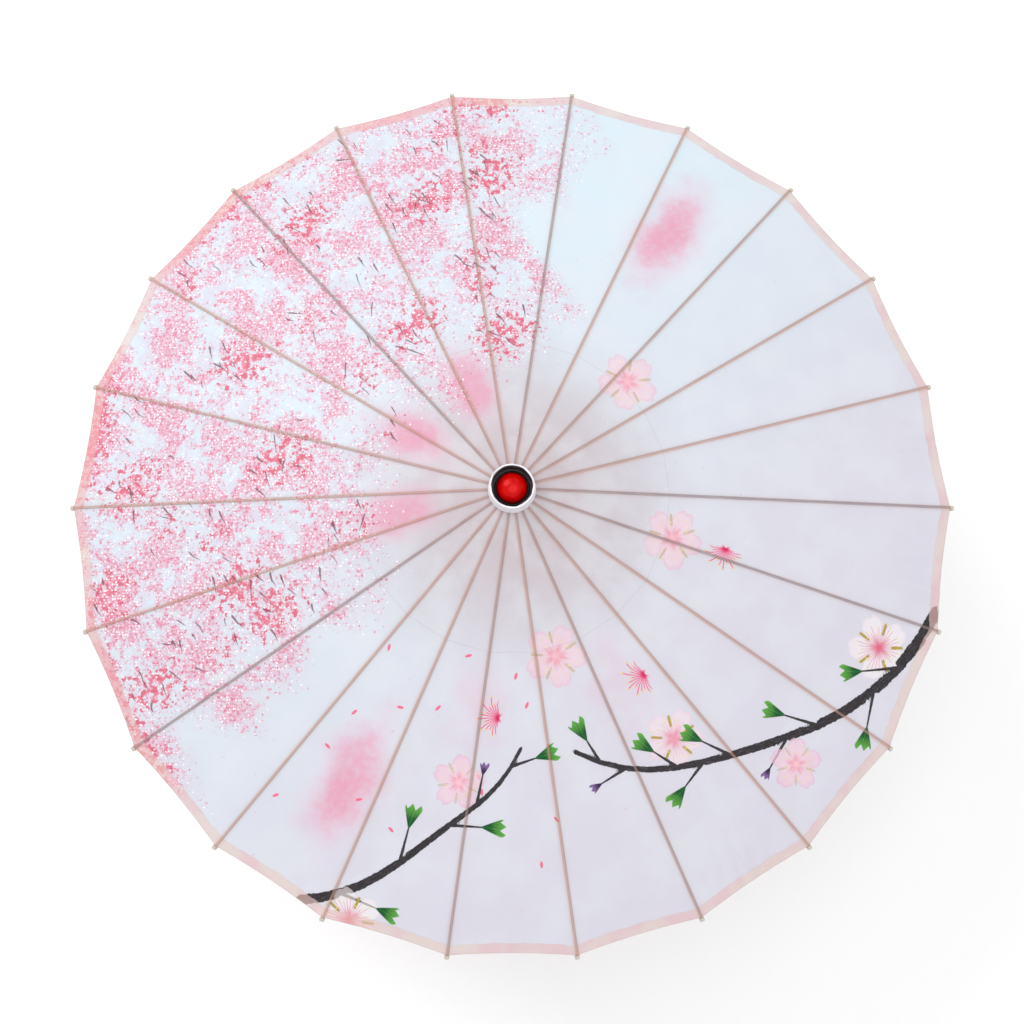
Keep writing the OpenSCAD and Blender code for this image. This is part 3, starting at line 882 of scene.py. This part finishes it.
rise = PAPER / math.cos(SLOPE)
carry = {
    "place": np.stack([px, py, hem_pink], -1),
    "fold": np.stack([gore_across, gore_run, gore_edge], -1),
    "clouds": np.stack([cloud, deep, wash], -1),
    "gaps": np.stack([twig_gap, thin_gap, leaf_gap], -1),
    "more gaps": np.stack([early_gap, late_gap, spray_gap], -1),
    "twig": twig, "thin twig": thin, "leaf": leaf, "blossom": early, "late blossom": late,
    "stamens": spray, "petal": np.where(fallen_gap[..., None] < 1.6, fallen, 9.0),
    "rib shade": np.clip(np.sin(np.arange(RIBS) * 2.4 + 1.6), 0, 1)[:, None, None] ** 2 + 0 * px,
}
for n in range(RIBS):
    below = gore_points[n]
    points, faces = shell(below + np.array([0, 0, rise]), below, ROWS, COLUMNS)
    values = {k: np.concatenate([a[n].reshape(ROWS * COLUMNS, -1)] * 2).squeeze()
              for k, a in carry.items()}
    gore = make_piece(f"gore_{n + 1:02d}", points, faces, canopy_look,
                      carry=values)
    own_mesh(gore)
    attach(gore, f"rib_{n + 1:02d}")
    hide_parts("canopy")
print("a gore has", len(points), "points and", 2 * len(faces), "triangles")

# %% [markdown]
# ## The strip that is pasted to each rib
#
# Along every rib a strip of the paper is pasted flat to the bamboo, between the rib's back and
# the gore. It stays as wide as the rib. It is what you see of the cover near the head when the
# umbrella is closed. It takes its paint from the middle column of the gore above it.

# %% Pasted strips
def rib_point(n, t, w, h):
    """A place on rib n, t mm along it from its hinge, w mm to its left and h mm over the line
    of its hinges: out by t cos + h sin, down by t sin - h cos."""
    out = RING + t * math.cos(SLOPE) + h * math.sin(SLOPE)
    down = HEAD - t * math.sin(SLOPE) + h * math.cos(SLOPE)
    c, s = math.cos(n * PITCH), math.sin(n * PITCH)
    return np.stack([out * c - w * s, out * s + w * c, down + 0 * w], -1)


middle = COLUMNS // 2
for n in range(RIBS):
    w = np.array([-1.75, 0.0, 1.75])[None, :]
    t = ((gore_run[n, :, middle] - RING - 5.2 * math.sin(SLOPE)) / math.cos(SLOPE))[:, None]
    t = np.maximum(t, 1.0) + 0 * w
    upper, lower = rib_point(n, t, w + 0 * t, 5.25), rib_point(n, t, w + 0 * t, 5.05)
    points, faces = shell(upper, lower, ROWS, 3)
    values = {}
    for k, a in carry.items():
        column = a[n][:, middle:middle + 1].reshape(ROWS, 1, -1)
        wide = np.repeat(column, 3, axis=1)
        if k == "place":
            wide = wide + np.stack([-w[0] * math.sin(n * PITCH), w[0] * math.cos(n * PITCH),
                                    0 * w[0]], -1)[None]
        if k == "fold":
            wide = wide + np.stack([w[0], 0 * w[0], 0 * w[0]], -1)[None]
        values[k] = np.concatenate([wide.reshape(ROWS * 3, -1)] * 2).squeeze()
    strip = make_piece(f"pasted_strip_{n + 1:02d}", points, faces, canopy_look,
                       carry=values)
    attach(strip, f"rib_{n + 1:02d}")
print("a pasted strip has", len(points), "points")

# %% [markdown]
# ## Wood, bamboo and metal
#
# The turned parts are a plain pale wood: long grain with darker growth lines. Split bamboo is
# different, for its fibres run dead straight and every hand's breadth or so a joint crosses
# them. Both are stretched noise, so one group with a Stretch input serves them all. Wire,
# catch and ferrule share a group of rubbed metal with fine scratches and duller patches.

# %% Wood and metal groups
wood_grain, i, o = effect("wood grain", [
    ("Place", "Vector", None), ("Stretch", "Float", 0.04), ("Fine", "Float", 1.0),
    ("Light", "Color", paint("D9B98C")), ("Dark", "Color", paint("A87B4C"))],
    [("Color", "Color"), ("Roughness", "Float"), ("Height", "Float")])
t = wood_grain
along, one_way, other = apart(t, i["Place"])
long_way = calc(t, "MULTIPLY", along, i["Stretch"])
spot = together(t, long_way, one_way, other)
broad = noise(t, spot, calc(t, "MULTIPLY", i["Fine"], 0.35), 3, 0.6)
fibres = noise(t, together(t, calc(t, "MULTIPLY", long_way, 0.6), one_way, other),
               calc(t, "MULTIPLY", i["Fine"], 2.2), 3, 0.7)
tone = calc(t, "MULTIPLY_ADD", fibres, 0.45, calc(t, "MULTIPLY", broad, 0.6))
colour = tint(t, ramp(t, tone, 0.36, 0.68), i["Dark"], i["Light"])
pores = ramp(t, fibres, 0.34, 0.24, 0.0, 0.5)
feed(t, o["Color"], tint(t, pores, colour, tint(t, 1.0, colour, paint("7A5A3C"), "MULTIPLY")))
feed(t, o["Roughness"], ramp(t, fibres, 0.3, 0.7, 0.62, 0.42))
feed(t, o["Height"], calc(t, "SUBTRACT", fibres, calc(t, "MULTIPLY", pores, 0.6)))

rubbed_metal, i, o = effect("rubbed metal", [
    ("Place", "Vector", None), ("Bright", "Color", paint("C9CCD0")),
    ("Dull", "Color", paint("7C7F84"))],
    [("Color", "Color"), ("Roughness", "Float"), ("Height", "Float")])
t = rubbed_metal
x, y, z = apart(t, i["Place"])
patches = noise(t, i["Place"], 0.35, 4, 0.6)
scratches = noise(t, together(t, calc(t, "MULTIPLY", x, 0.3), y, calc(t, "MULTIPLY", z, 6.0)), 2.0, 2)
feed(t, o["Color"], tint(t, ramp(t, patches, 0.4, 0.66), i["Bright"], i["Dull"]))
feed(t, o["Roughness"], calc(t, "MULTIPLY_ADD", scratches, 0.16, ramp(t, patches, 0.3, 0.7, 0.2, 0.44)))
feed(t, o["Height"], scratches)

rib_place, i, o = effect("along the nearest rib", [("Place", "Vector", None)],
                         [("Place", "Vector")])
t = rib_place
x, y, z = apart(t, i["Place"])
turn = calc(t, "DIVIDE", calc(t, "ARCTAN2", y, x), PITCH)
off = calc(t, "MULTIPLY", calc(t, "SUBTRACT", turn, calc(t, "ROUND", turn)), PITCH)
reach_out = calc(t, "SQRT", calc(t, "ADD", calc(t, "MULTIPLY", x, x), calc(t, "MULTIPLY", y, y)))
feed(t, o["Place"], together(t, calc(t, "MULTIPLY", reach_out, calc(t, "COSINE", off)),
                             calc(t, "MULTIPLY", reach_out, calc(t, "SINE", off)),
                             calc(t, "MULTIPLY_ADD", reach_out, math.tan(SLOPE), z)))
print("groups for wood, metal and the rib's own direction are ready")

# %% Material builders
def start_material(title, bump=0.2, metallic=0.0):
    """A material with its shader, a Bump node and its own place in millimetres."""
    material = bpy.data.materials.new(title)
    material.use_nodes = True
    tree = material.node_tree
    shade = tree.nodes["Principled BSDF"]
    shade.inputs["Metallic"].default_value = metallic
    where = tree.nodes.new("ShaderNodeTexCoord").outputs["Object"]
    scaled = tree.nodes.new("ShaderNodeMapping")
    scaled.inputs["Scale"].default_value = (1000, 1000, 1000)
    tree.links.new(where, scaled.inputs[0])
    relief = tree.nodes.new("ShaderNodeBump")
    relief.inputs["Strength"].default_value = bump
    relief.inputs["Distance"].default_value = 0.0003
    tree.links.new(relief.outputs[0], shade.inputs["Normal"])
    return material, tree, shade, scaled.outputs[0], relief.inputs["Height"]


def wooden(title, light, dark, upright=True, stretch=0.05, fine=1.0, coat=0.0, bump=0.25,
           black_from=None):
    """Turned wood: the grain runs up the Z axis when upright, and above the last argument's height
    in mm it turns nearly black."""
    material, tree, shade, where, height = start_material(title, bump)
    x, y, z = apart(tree, where)
    grain = place(tree, wood_grain, Place=together(tree, z, x, y) if upright else where,
                  Stretch=stretch, Fine=fine, Light=paint(light), Dark=paint(dark))
    handled = noise(tree, where, 0.06, 3)
    colour = tint(tree, ramp(tree, handled, 0.45, 0.7, 0.0, 0.35), grain["Color"],
                  tint(tree, 1.0, grain["Color"], paint("B08C66"), "MULTIPLY"))
    # above that height the wood is darkened to nearly black
    if black_from:
        colour = tint(tree, ramp(tree, z, black_from, black_from + 1.0), colour, paint("140D0F"))
    feed(tree, shade.inputs["Base Color"], colour)
    feed(tree, shade.inputs["Roughness"], grain["Roughness"])
    feed(tree, height, grain["Height"])
    shade.inputs["Coat Weight"].default_value = coat
    shade.inputs["Coat Roughness"].default_value = 0.25
    return material


def bamboo(title, light, dark):
    """Split bamboo: straight fibres along the rib, a darker joint every 170 mm, grey cut end."""
    material, tree, shade, where, height = start_material(title, 0.3)
    own = place(tree, rib_place, Place=where)["Place"]
    grain = place(tree, wood_grain, Place=own, Stretch=0.02, Fine=1.6, Light=paint(light),
                  Dark=paint(dark))
    along = apart(tree, own)[0]
    wave = noise(tree, where, 0.004, 1)
    joint = calc(tree, "ABSOLUTE", calc(tree, "SUBTRACT", calc(tree, "FRACT", calc(
        tree, "MULTIPLY_ADD", wave, 2.0, calc(tree, "DIVIDE", along, 170.0))), 0.5))
    joint = ramp(tree, joint, 0.016, 0.004)
    colour = tint(tree, calc(tree, "MULTIPLY", joint, 0.6), grain["Color"], paint("7D5B38"))
    colour = tint(tree, ramp(tree, along, 414.5, 418.5, 0.0, 0.75), colour, paint("A99C93"))
    feed(tree, shade.inputs["Base Color"], colour)
    feed(tree, shade.inputs["Roughness"], grain["Roughness"])
    feed(tree, height, calc(tree, "MULTIPLY_ADD", joint, 0.8, grain["Height"]))
    return material


def metal(title, bright, dull, bump=0.1):
    """Rubbed metal with scratches and duller patches."""
    material, tree, shade, where, height = start_material(title, bump, 1.0)
    face = place(tree, rubbed_metal, Place=where, Bright=paint(bright), Dull=paint(dull))
    feed(tree, shade.inputs["Base Color"], face["Color"])
    feed(tree, shade.inputs["Roughness"], face["Roughness"])
    feed(tree, height, face["Height"])
    return material


looks = {
    "shaft_wood": wooden("planed shaft wood", "E2C79C", "BE9765", stretch=0.03, fine=1.2),
    "grip_wood": wooden("polished grip wood", "A9683A", "6E3B1E", stretch=0.05, coat=0.5),
    "head_wood": wooden("turned head wood", "D8BC92", "AE8657", stretch=0.2, black_from=519.0),
    "runner_wood": wooden("turned runner wood", "D5B88D", "A98152", stretch=0.2),
    "peg_wood": wooden("split peg", "C79F6C", "8B6238", upright=False, stretch=0.1),
    "ferrule_brass": metal("aged brass", "D8B266", "8C6B34"),
    "wire_steel": metal("drawn wire", "BFC1C4", "75777B"),
    "catch_steel": metal("spring steel", "B4B8BE", "6A6E75"),
    "rib_bamboo": bamboo("split bamboo rib", "E0C596", "C09A63"),
    "stretcher_bamboo": bamboo("split bamboo stretcher", "DDBF8D", "B88F58"),
}
print("made", len(looks), "finishes for the frame")

# %% [markdown]
# ## Lacquer, cotton and the paper collar
#
# The knob is turned wood under several coats of red lacquer: very smooth, with a clear coat, a
# few hairline scratches and a slightly darker red where it was handled, and a painted shade of
# deep red on the lower sides of its dome. Cotton thread is two plies twisted together, which
# shows as slanting ridges with painted shade in the grooves. The collar is a strip of white
# paper rolled into a ring, so its faces show faint layers and its inner lip is uneven; its
# inside is painted nearly black as shade, and its foot a little greyer as painted shade.

# %% Lacquer, cotton and collar materials
red_look, t, shade, where, height = start_material("red lacquer", 0.05)
worn = noise(t, where, 0.16, 4, 0.6)
colour = tint(t, ramp(t, worn, 0.35, 0.7), paint("CE0303"), paint("AE0202"))
x, y, z = apart(t, where)
# painted shade: the lacquer turns deep red towards the dome's lower sides, which face away from the light
colour = tint(t, ramp(t, z, 533.5, 529.0, 0.0, 0.9), colour, paint("3A0202"))
feed(t, shade.inputs["Base Color"], colour)
hairline = noise(t, together(t, calc(t, "MULTIPLY", x, 0.2), calc(t, "MULTIPLY", y, 3.0), z), 1.5, 3)
feed(t, shade.inputs["Roughness"], ramp(t, hairline, 0.3, 0.75, 0.16, 0.3))
feed(t, height, hairline)
shade.inputs["Specular IOR Level"].default_value = 0.12
shade.inputs["Coat Weight"].default_value = 0.05
shade.inputs["Coat Roughness"].default_value = 0.12
looks["knob_lacquer"] = red_look

collar_look, t, shade, where, height = start_material("rolled white paper", 0.5)
x, y, z = apart(t, where)
turn = calc(t, "ARCTAN2", y, x)
layers = noise(t, together(t, calc(t, "MULTIPLY", turn, 2.0), calc(t, "MULTIPLY", z, 2.2), 0.0), 1.0, 3, 0.7)
fibre = noise(t, where, 1.2, 3, 0.6)
colour = tint(t, ramp(t, layers, 0.4, 0.66), paint("F7F6F8"), paint("D9D6E2"))
colour = tint(t, ramp(t, fibre, 0.3, 0.45, 0.5, 0.0), colour, paint("B9AFC2"))
reach_out = calc(t, "SQRT", calc(t, "ADD", calc(t, "MULTIPLY", x, x), calc(t, "MULTIPLY", y, y)))
# painted shade: the inside of the collar is painted nearly black, as the shade inside the ring, and a slow
# noise makes that edge wander
inner_shade_wobble = noise(t, together(t, calc(t, "MULTIPLY", turn, 3.0), z, 0.0), 0.6, 3)
inner = ramp(t, calc(t, "MULTIPLY_ADD", inner_shade_wobble, 1.6, reach_out), 19.5, 18.9, 0.0, 0.97)
colour = tint(t, inner, colour, paint("1C1418"))
# painted shade: the collar greys towards its foot, where it sits on the paper
colour = tint(t, ramp(t, z, 524.0, 521.0, 0.0, 0.5), colour, paint("B7A7B6"))
feed(t, shade.inputs["Base Color"], colour)
feed(t, shade.inputs["Roughness"], ramp(t, fibre, 0.3, 0.7, 0.5, 0.75))
feed(t, height, calc(t, "ADD", layers, calc(t, "MULTIPLY", fibre, 0.5)))
looks["collar_paper"] = collar_look

cotton_look, t, shade, where, height = start_material("twisted cotton", 0.6)
own = place(t, rib_place, Place=where)["Place"]
along, sideways, up = apart(t, own)
ply = calc(t, "SINE", calc(t, "ADD", calc(t, "MULTIPLY", sideways, 5.0),
                               calc(t, "MULTIPLY", calc(t, "ADD", along, up), 6.0)))
fluff = noise(t, where, 3.0, 3, 0.7)
# painted shade: the thread is darker in the grooves between the plies and lighter on their crests
colour = tint(t, ramp(t, ply, -0.8, 0.5), paint("B9AEA4"), paint("EDE6DC"))
feed(t, shade.inputs["Base Color"], tint(t, ramp(t, fluff, 0.35, 0.6, 0.3, 0.0), colour, paint("A79B90")))
feed(t, shade.inputs["Roughness"], ramp(t, fluff, 0.3, 0.7, 0.75, 0.95))
feed(t, height, ply)
looks["thread_cotton"] = cotton_look
print("made", len(looks), "finishes in all")

# %% [markdown]
# ## Threads
#
# A cotton thread runs through all the rib tips inside the hem, and another through the ribs
# where the stretchers are pinned. They are drawn tight, so between two ribs a thread is a
# straight line. Each rib gets the half stretch on either side of it.

# %% Threads
def tube(line, radius, sides=8):
    """A round cord along a line: at each point of the line a ring stands square to it. The
    ring's two directions are the line's direction crossed with up, and that crossed again.
    Both ends are closed by a ring of no size."""
    ahead = np.gradient(line, axis=0)
    ahead /= np.linalg.norm(ahead, axis=1)[:, None]
    line, ahead = (np.vstack([a[:1], a, a[-1:]]) for a in (line, ahead))
    left = np.cross(ahead, [0, 0, 1.0])
    left /= np.linalg.norm(left, axis=1)[:, None]
    over = np.cross(left, ahead)
    size = np.full(len(line), radius)
    size[[0, -1]] = radius * 0.02
    turn = np.linspace(0, 2 * math.pi, sides, endpoint=False)
    rings = (line[:, None] + size[:, None, None] * (
        np.cos(turn)[None, :, None] * left[:, None] + np.sin(turn)[None, :, None] * over[:, None]))
    return rings.reshape(-1, 3), grid_faces(len(line), sides, ring=True)


def thread_line(n, t, h, count=25):
    """Half of the chord to each neighbour: the mix, by |v|, of the same place on both ribs."""
    v = np.linspace(-0.5, 0.5, count)[:, None]
    own = rib_point(n, t, np.zeros(1), h)
    left, right = rib_point(n + 1, t, np.zeros(1), h), rib_point(n - 1, t, np.zeros(1), h)
    return np.where(v > 0, own + v * (left - own), own - v * (right - own))


for n in range(RIBS):
    for title, node, t, h, radius in (("rim_thread_", "rim_thread", RIB_LENGTH - 12, 3.2, 0.4),
                                      ("pivot_thread_", "pivot_thread", 131, 3.5, 0.3)):
        points, faces = tube(thread_line(n, t, h), radius)
        piece = make_piece(f"{title}{n + 1:02d}", points, faces,
                           cotton_look, crease=60)
        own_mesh(piece)
        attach(piece, f"rib_{n + 1:02d}")
        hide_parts(node)
print("a thread piece has", len(points), "points")

# %% [markdown]
# ## Bindings on the rib tips
#
# Past the rim every rib stands out by about five millimetres. There the hem's thread is wound
# round the rib a few times, which stops the split end from opening. The binding is a grid round
# and along the rib: a rounded rectangle whose size swells a little for each turn of thread.

# %% Tip bindings
def binding(n):
    """Round and along: the outline is a superellipse (|x|^4 + |y|^4 = 1) of the rib's width and
    depth, and its size is 1 plus a ripple with five crests along 2.6 mm, closed at both ends."""
    turn = np.linspace(0, 2 * math.pi, 28, endpoint=False)[None, :]
    run = np.linspace(0, 1, 31)[:, None]
    grow = 0.34 + 0.16 * np.abs(np.sin(run * 5 * math.pi + turn / 2))
    grow = np.where((run == 0) | (run == 1), -1.2, grow)
    c, s = np.cos(turn), np.sin(turn)
    super_c = np.sign(c) * np.abs(c) ** 0.5
    super_s = np.sign(s) * np.abs(s) ** 0.5
    w = super_c * (1.8 + grow)
    h = 3.4 + super_s * (1.55 + grow)
    t = 415.2 + 2.6 * run + 0 * w
    out = RING + t * math.cos(SLOPE) + h * math.sin(SLOPE)
    down = HEAD - t * math.sin(SLOPE) + h * math.cos(SLOPE)
    c, s = math.cos(n * PITCH), math.sin(n * PITCH)
    points = np.stack([out * c - w * s, out * s + w * c, down], -1).reshape(-1, 3)
    return points, grid_faces(31, 28, ring=True)[:, ::-1]


for n in range(RIBS):
    points, faces = binding(n)
    piece = make_piece(f"tip_binding_{n + 1:02d}", points, faces,
                       cotton_look)
    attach(piece, f"rib_{n + 1:02d}")
print("a binding has", len(faces), "faces")

# %% [markdown]
# ## The knob, the collar and the grip
#
# All three come off a lathe on the real object, or are rolled round one, so each is a profile
# carried round the Z axis. Corners are cut by a small curve, for lacquer and wood never end in
# a knife edge, and a soft corner is what catches the light.

# %% Turned pieces
def closed_turned(profile, sides=128, wobble=None):
    """A lathe piece with a hole through it: the profile's last point joins its first."""
    points, faces = turned(profile, sides, wobble)
    rows = len(profile)
    last = np.arange(sides) + (rows - 1) * sides
    first = np.arange(sides)
    join = np.stack([last, np.roll(last, -1), np.roll(first, -1), first], -1)
    return points, np.vstack([faces, join])


def weld(piece):
    """Joins the crossings that meet at a pole, so that it is closed."""
    import bmesh
    work = bmesh.new()
    work.from_mesh(piece.data)
    bmesh.ops.remove_doubles(work, verts=work.verts, dist=2e-6)
    work.to_mesh(piece.data)
    work.free()
    return piece


arc = np.linspace(math.asin(6.7 / 15.7), math.pi / 2, 22)
dome = [(15.7 * math.cos(a), 522.3 + 15.7 * math.sin(a)) for a in arc[1:-1]] + [(0, 538)]
knob_profile = np.vstack([rounded([(0, 531.2), (7.7, 531.2), (7.7, 525), (14.2, 525),
                                   (14.2, 529)]), dome])
points, faces = turned(knob_profile)
knob = weld(make_piece("red_knob", points, faces, red_look, crease=50))
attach(knob, "pole")
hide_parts("finial")

collar_profile = rounded([(15.9, 522.3), (21.3, 520.9), (21.4, 522.2), (20.7, 531), (20, 538.8),
                          (19.4, 540), (18.4, 539.6), (17.7, 538.6), (17.9, 530), (18, 525),
                          (15.9, 524.6)], 5)


def uneven(angle, row):
    """The lip was cut by hand: a few slow waves push its upper and inner rows in and out."""
    high = smooth(collar_profile[:, 1], 531, 539)[:, None]
    inner = smooth(-collar_profile[:, 0], -19.6, -18.2)[:, None]
    wave = (np.sin(3 * angle + 0.9) * 0.42 + np.sin(5 * angle + 2) * 0.3
            + np.sin(8 * angle) * 0.2 + np.sin(13 * angle) * 0.1)
    return wave * high * (0.35 + 0.9 * inner) - 0.12 * high * inner


points, faces = closed_turned(collar_profile, 160, uneven)
collar = make_piece("paper_collar", points, faces, collar_look, crease=50)
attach(collar, "pole")
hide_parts("cap_collar")

grip_profile = rounded([(0, 0), (8, 0), (9.6, 0.6), (10.5, 1.6), (11, 3.4), (11, 8), (10.6, 8.5),
                        (10.6, 9.1), (11, 9.6), (11, 12), (10.6, 12.5), (10.6, 13.1),
                        (11, 13.6), (11, 84), (10.6, 84.5), (10.6, 85.1), (11, 85.6),
                        (11, 95), (10.2, 96), (7.7, 96), (7.7, 12), (0, 12)])
points, faces = turned(grip_profile, 96)
grip = weld(make_piece("turned_grip", points, faces, looks["grip_wood"],
                       crease=50))
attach(grip, "pole")
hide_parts("handle_grip")

ferrule_profile = rounded([(7.7, 96), (11.6, 96), (11.6, 97.2), (11.3, 97.6), (11.3, 98),
                           (11.6, 98.4), (11.6, 101), (10.8, 103), (8.7, 104), (7.7, 104)])
points, faces = closed_turned(ferrule_profile, 96)
ferrule = make_piece("brass_ferrule", points, faces,
                     looks["ferrule_brass"], crease=50)
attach(ferrule, "pole")
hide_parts("grip_ferrule")
print("knob, collar, grip and ferrule are turned")

# %% [markdown]
# ## Finishing the frame's own pieces
#
# The shaft, head, runner, wires, catch, pegs, ribs and stretchers are already the right shape,
# so they only need their finish. A table by node name says which finish each takes.

# %% Finishes for the frame
by_name = {"shaft": "shaft_wood", "head_hub": "head_wood", "runner_hub": "runner_wood",
           "head_wire": "wire_steel", "runner_wire": "wire_steel", "head_pin": "peg_wood",
           "grip_pin": "peg_wood", "latch_spring": "catch_steel", "latch_pin": "wire_steel"}
shown = 0
for name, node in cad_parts.items():
    if name.startswith("rib_"):
        finish = "rib_bamboo"
    elif name.startswith("stretcher_"):
        finish = "stretcher_bamboo"
    else:
        finish = by_name.get(name)
    if finish:
        node.data.materials.clear()
        node.data.materials.append(looks[finish])
        shown += 1
print(shown, "pieces of the frame have their finish")

# %% [markdown]
# ## Floor, light and camera
#
# The umbrella stands on a plain pale floor. A wide soft light hangs high on the far left, so
# that the gores that lean that way are the brightest, and the sky fills the rest. The camera
# looks down steeply, a little from the front.

# %% Floor
floor_look, t, shade, where, height = start_material("pale floor", 0.02)
speck = noise(t, where, 0.002, 2)
feed(t, shade.inputs["Base Color"], tint(t, speck, paint("FDFDFD"), paint("FAFAFA")))
shade.inputs["Roughness"].default_value = 0.9
mesh = bpy.data.meshes.new("floor")
mesh.from_pydata([(-9, -9, 0), (9, -9, 0), (9, 9, 0), (-9, 9, 0)], [], [(0, 1, 2, 3)])
mesh.materials.append(floor_look)
floor = bpy.data.objects.new("floor", mesh)
bpy.context.scene.collection.objects.link(floor)

# %% Light
def soft_light(title, spot, aim, size, power, colour=(1, 1, 1)):
    """A square lamp at spot that faces aim."""
    lamp = bpy.data.lights.new(title, "AREA")
    lamp.shape, lamp.size, lamp.energy, lamp.color = "SQUARE", size, power, colour
    holder = bpy.data.objects.new(title, lamp)
    away = np.array(aim, float) - np.array(spot, float)
    from mathutils import Vector
    holder.location = spot
    holder.rotation_euler = Vector(away).to_track_quat("-Z", "Y").to_euler()
    bpy.context.scene.collection.objects.link(holder)


soft_light("window light", (-1.6, 1.5, 2.6), (0, 0, 0.45), 1.6, 34)
soft_light("overhead light", (0.3, -0.2, 3.4), (0, 0, 0.4), 2.6, 40)
world = bpy.data.worlds.new("studio")
world.use_nodes = True
world.node_tree.nodes["Background"].inputs[0].default_value = (1, 1, 1, 1)
world.node_tree.nodes["Background"].inputs[1].default_value = 0.75
bpy.context.scene.world = world
bpy.context.scene.view_settings.view_transform = "Standard"
print("two lamps and a pale sky")

# %% Camera
from mathutils import Vector
height_angle = math.radians(81.2)
target = Vector((0, 0, 0.4077))
lens = bpy.data.cameras.new("camera")
lens.sensor_width, lens.lens = 36, 55.1
lens.shift_x, lens.shift_y = 0.0, -0.003
camera = bpy.data.objects.new("camera", lens)
back = Vector((0, -math.cos(height_angle), math.sin(height_angle)))
camera.location = target + back * 1.5
camera.rotation_euler = (-back).to_track_quat("-Z", "Y").to_euler()
bpy.context.scene.collection.objects.link(camera)
bpy.context.scene.camera = camera
print("camera at", [round(c, 3) for c in camera.location])
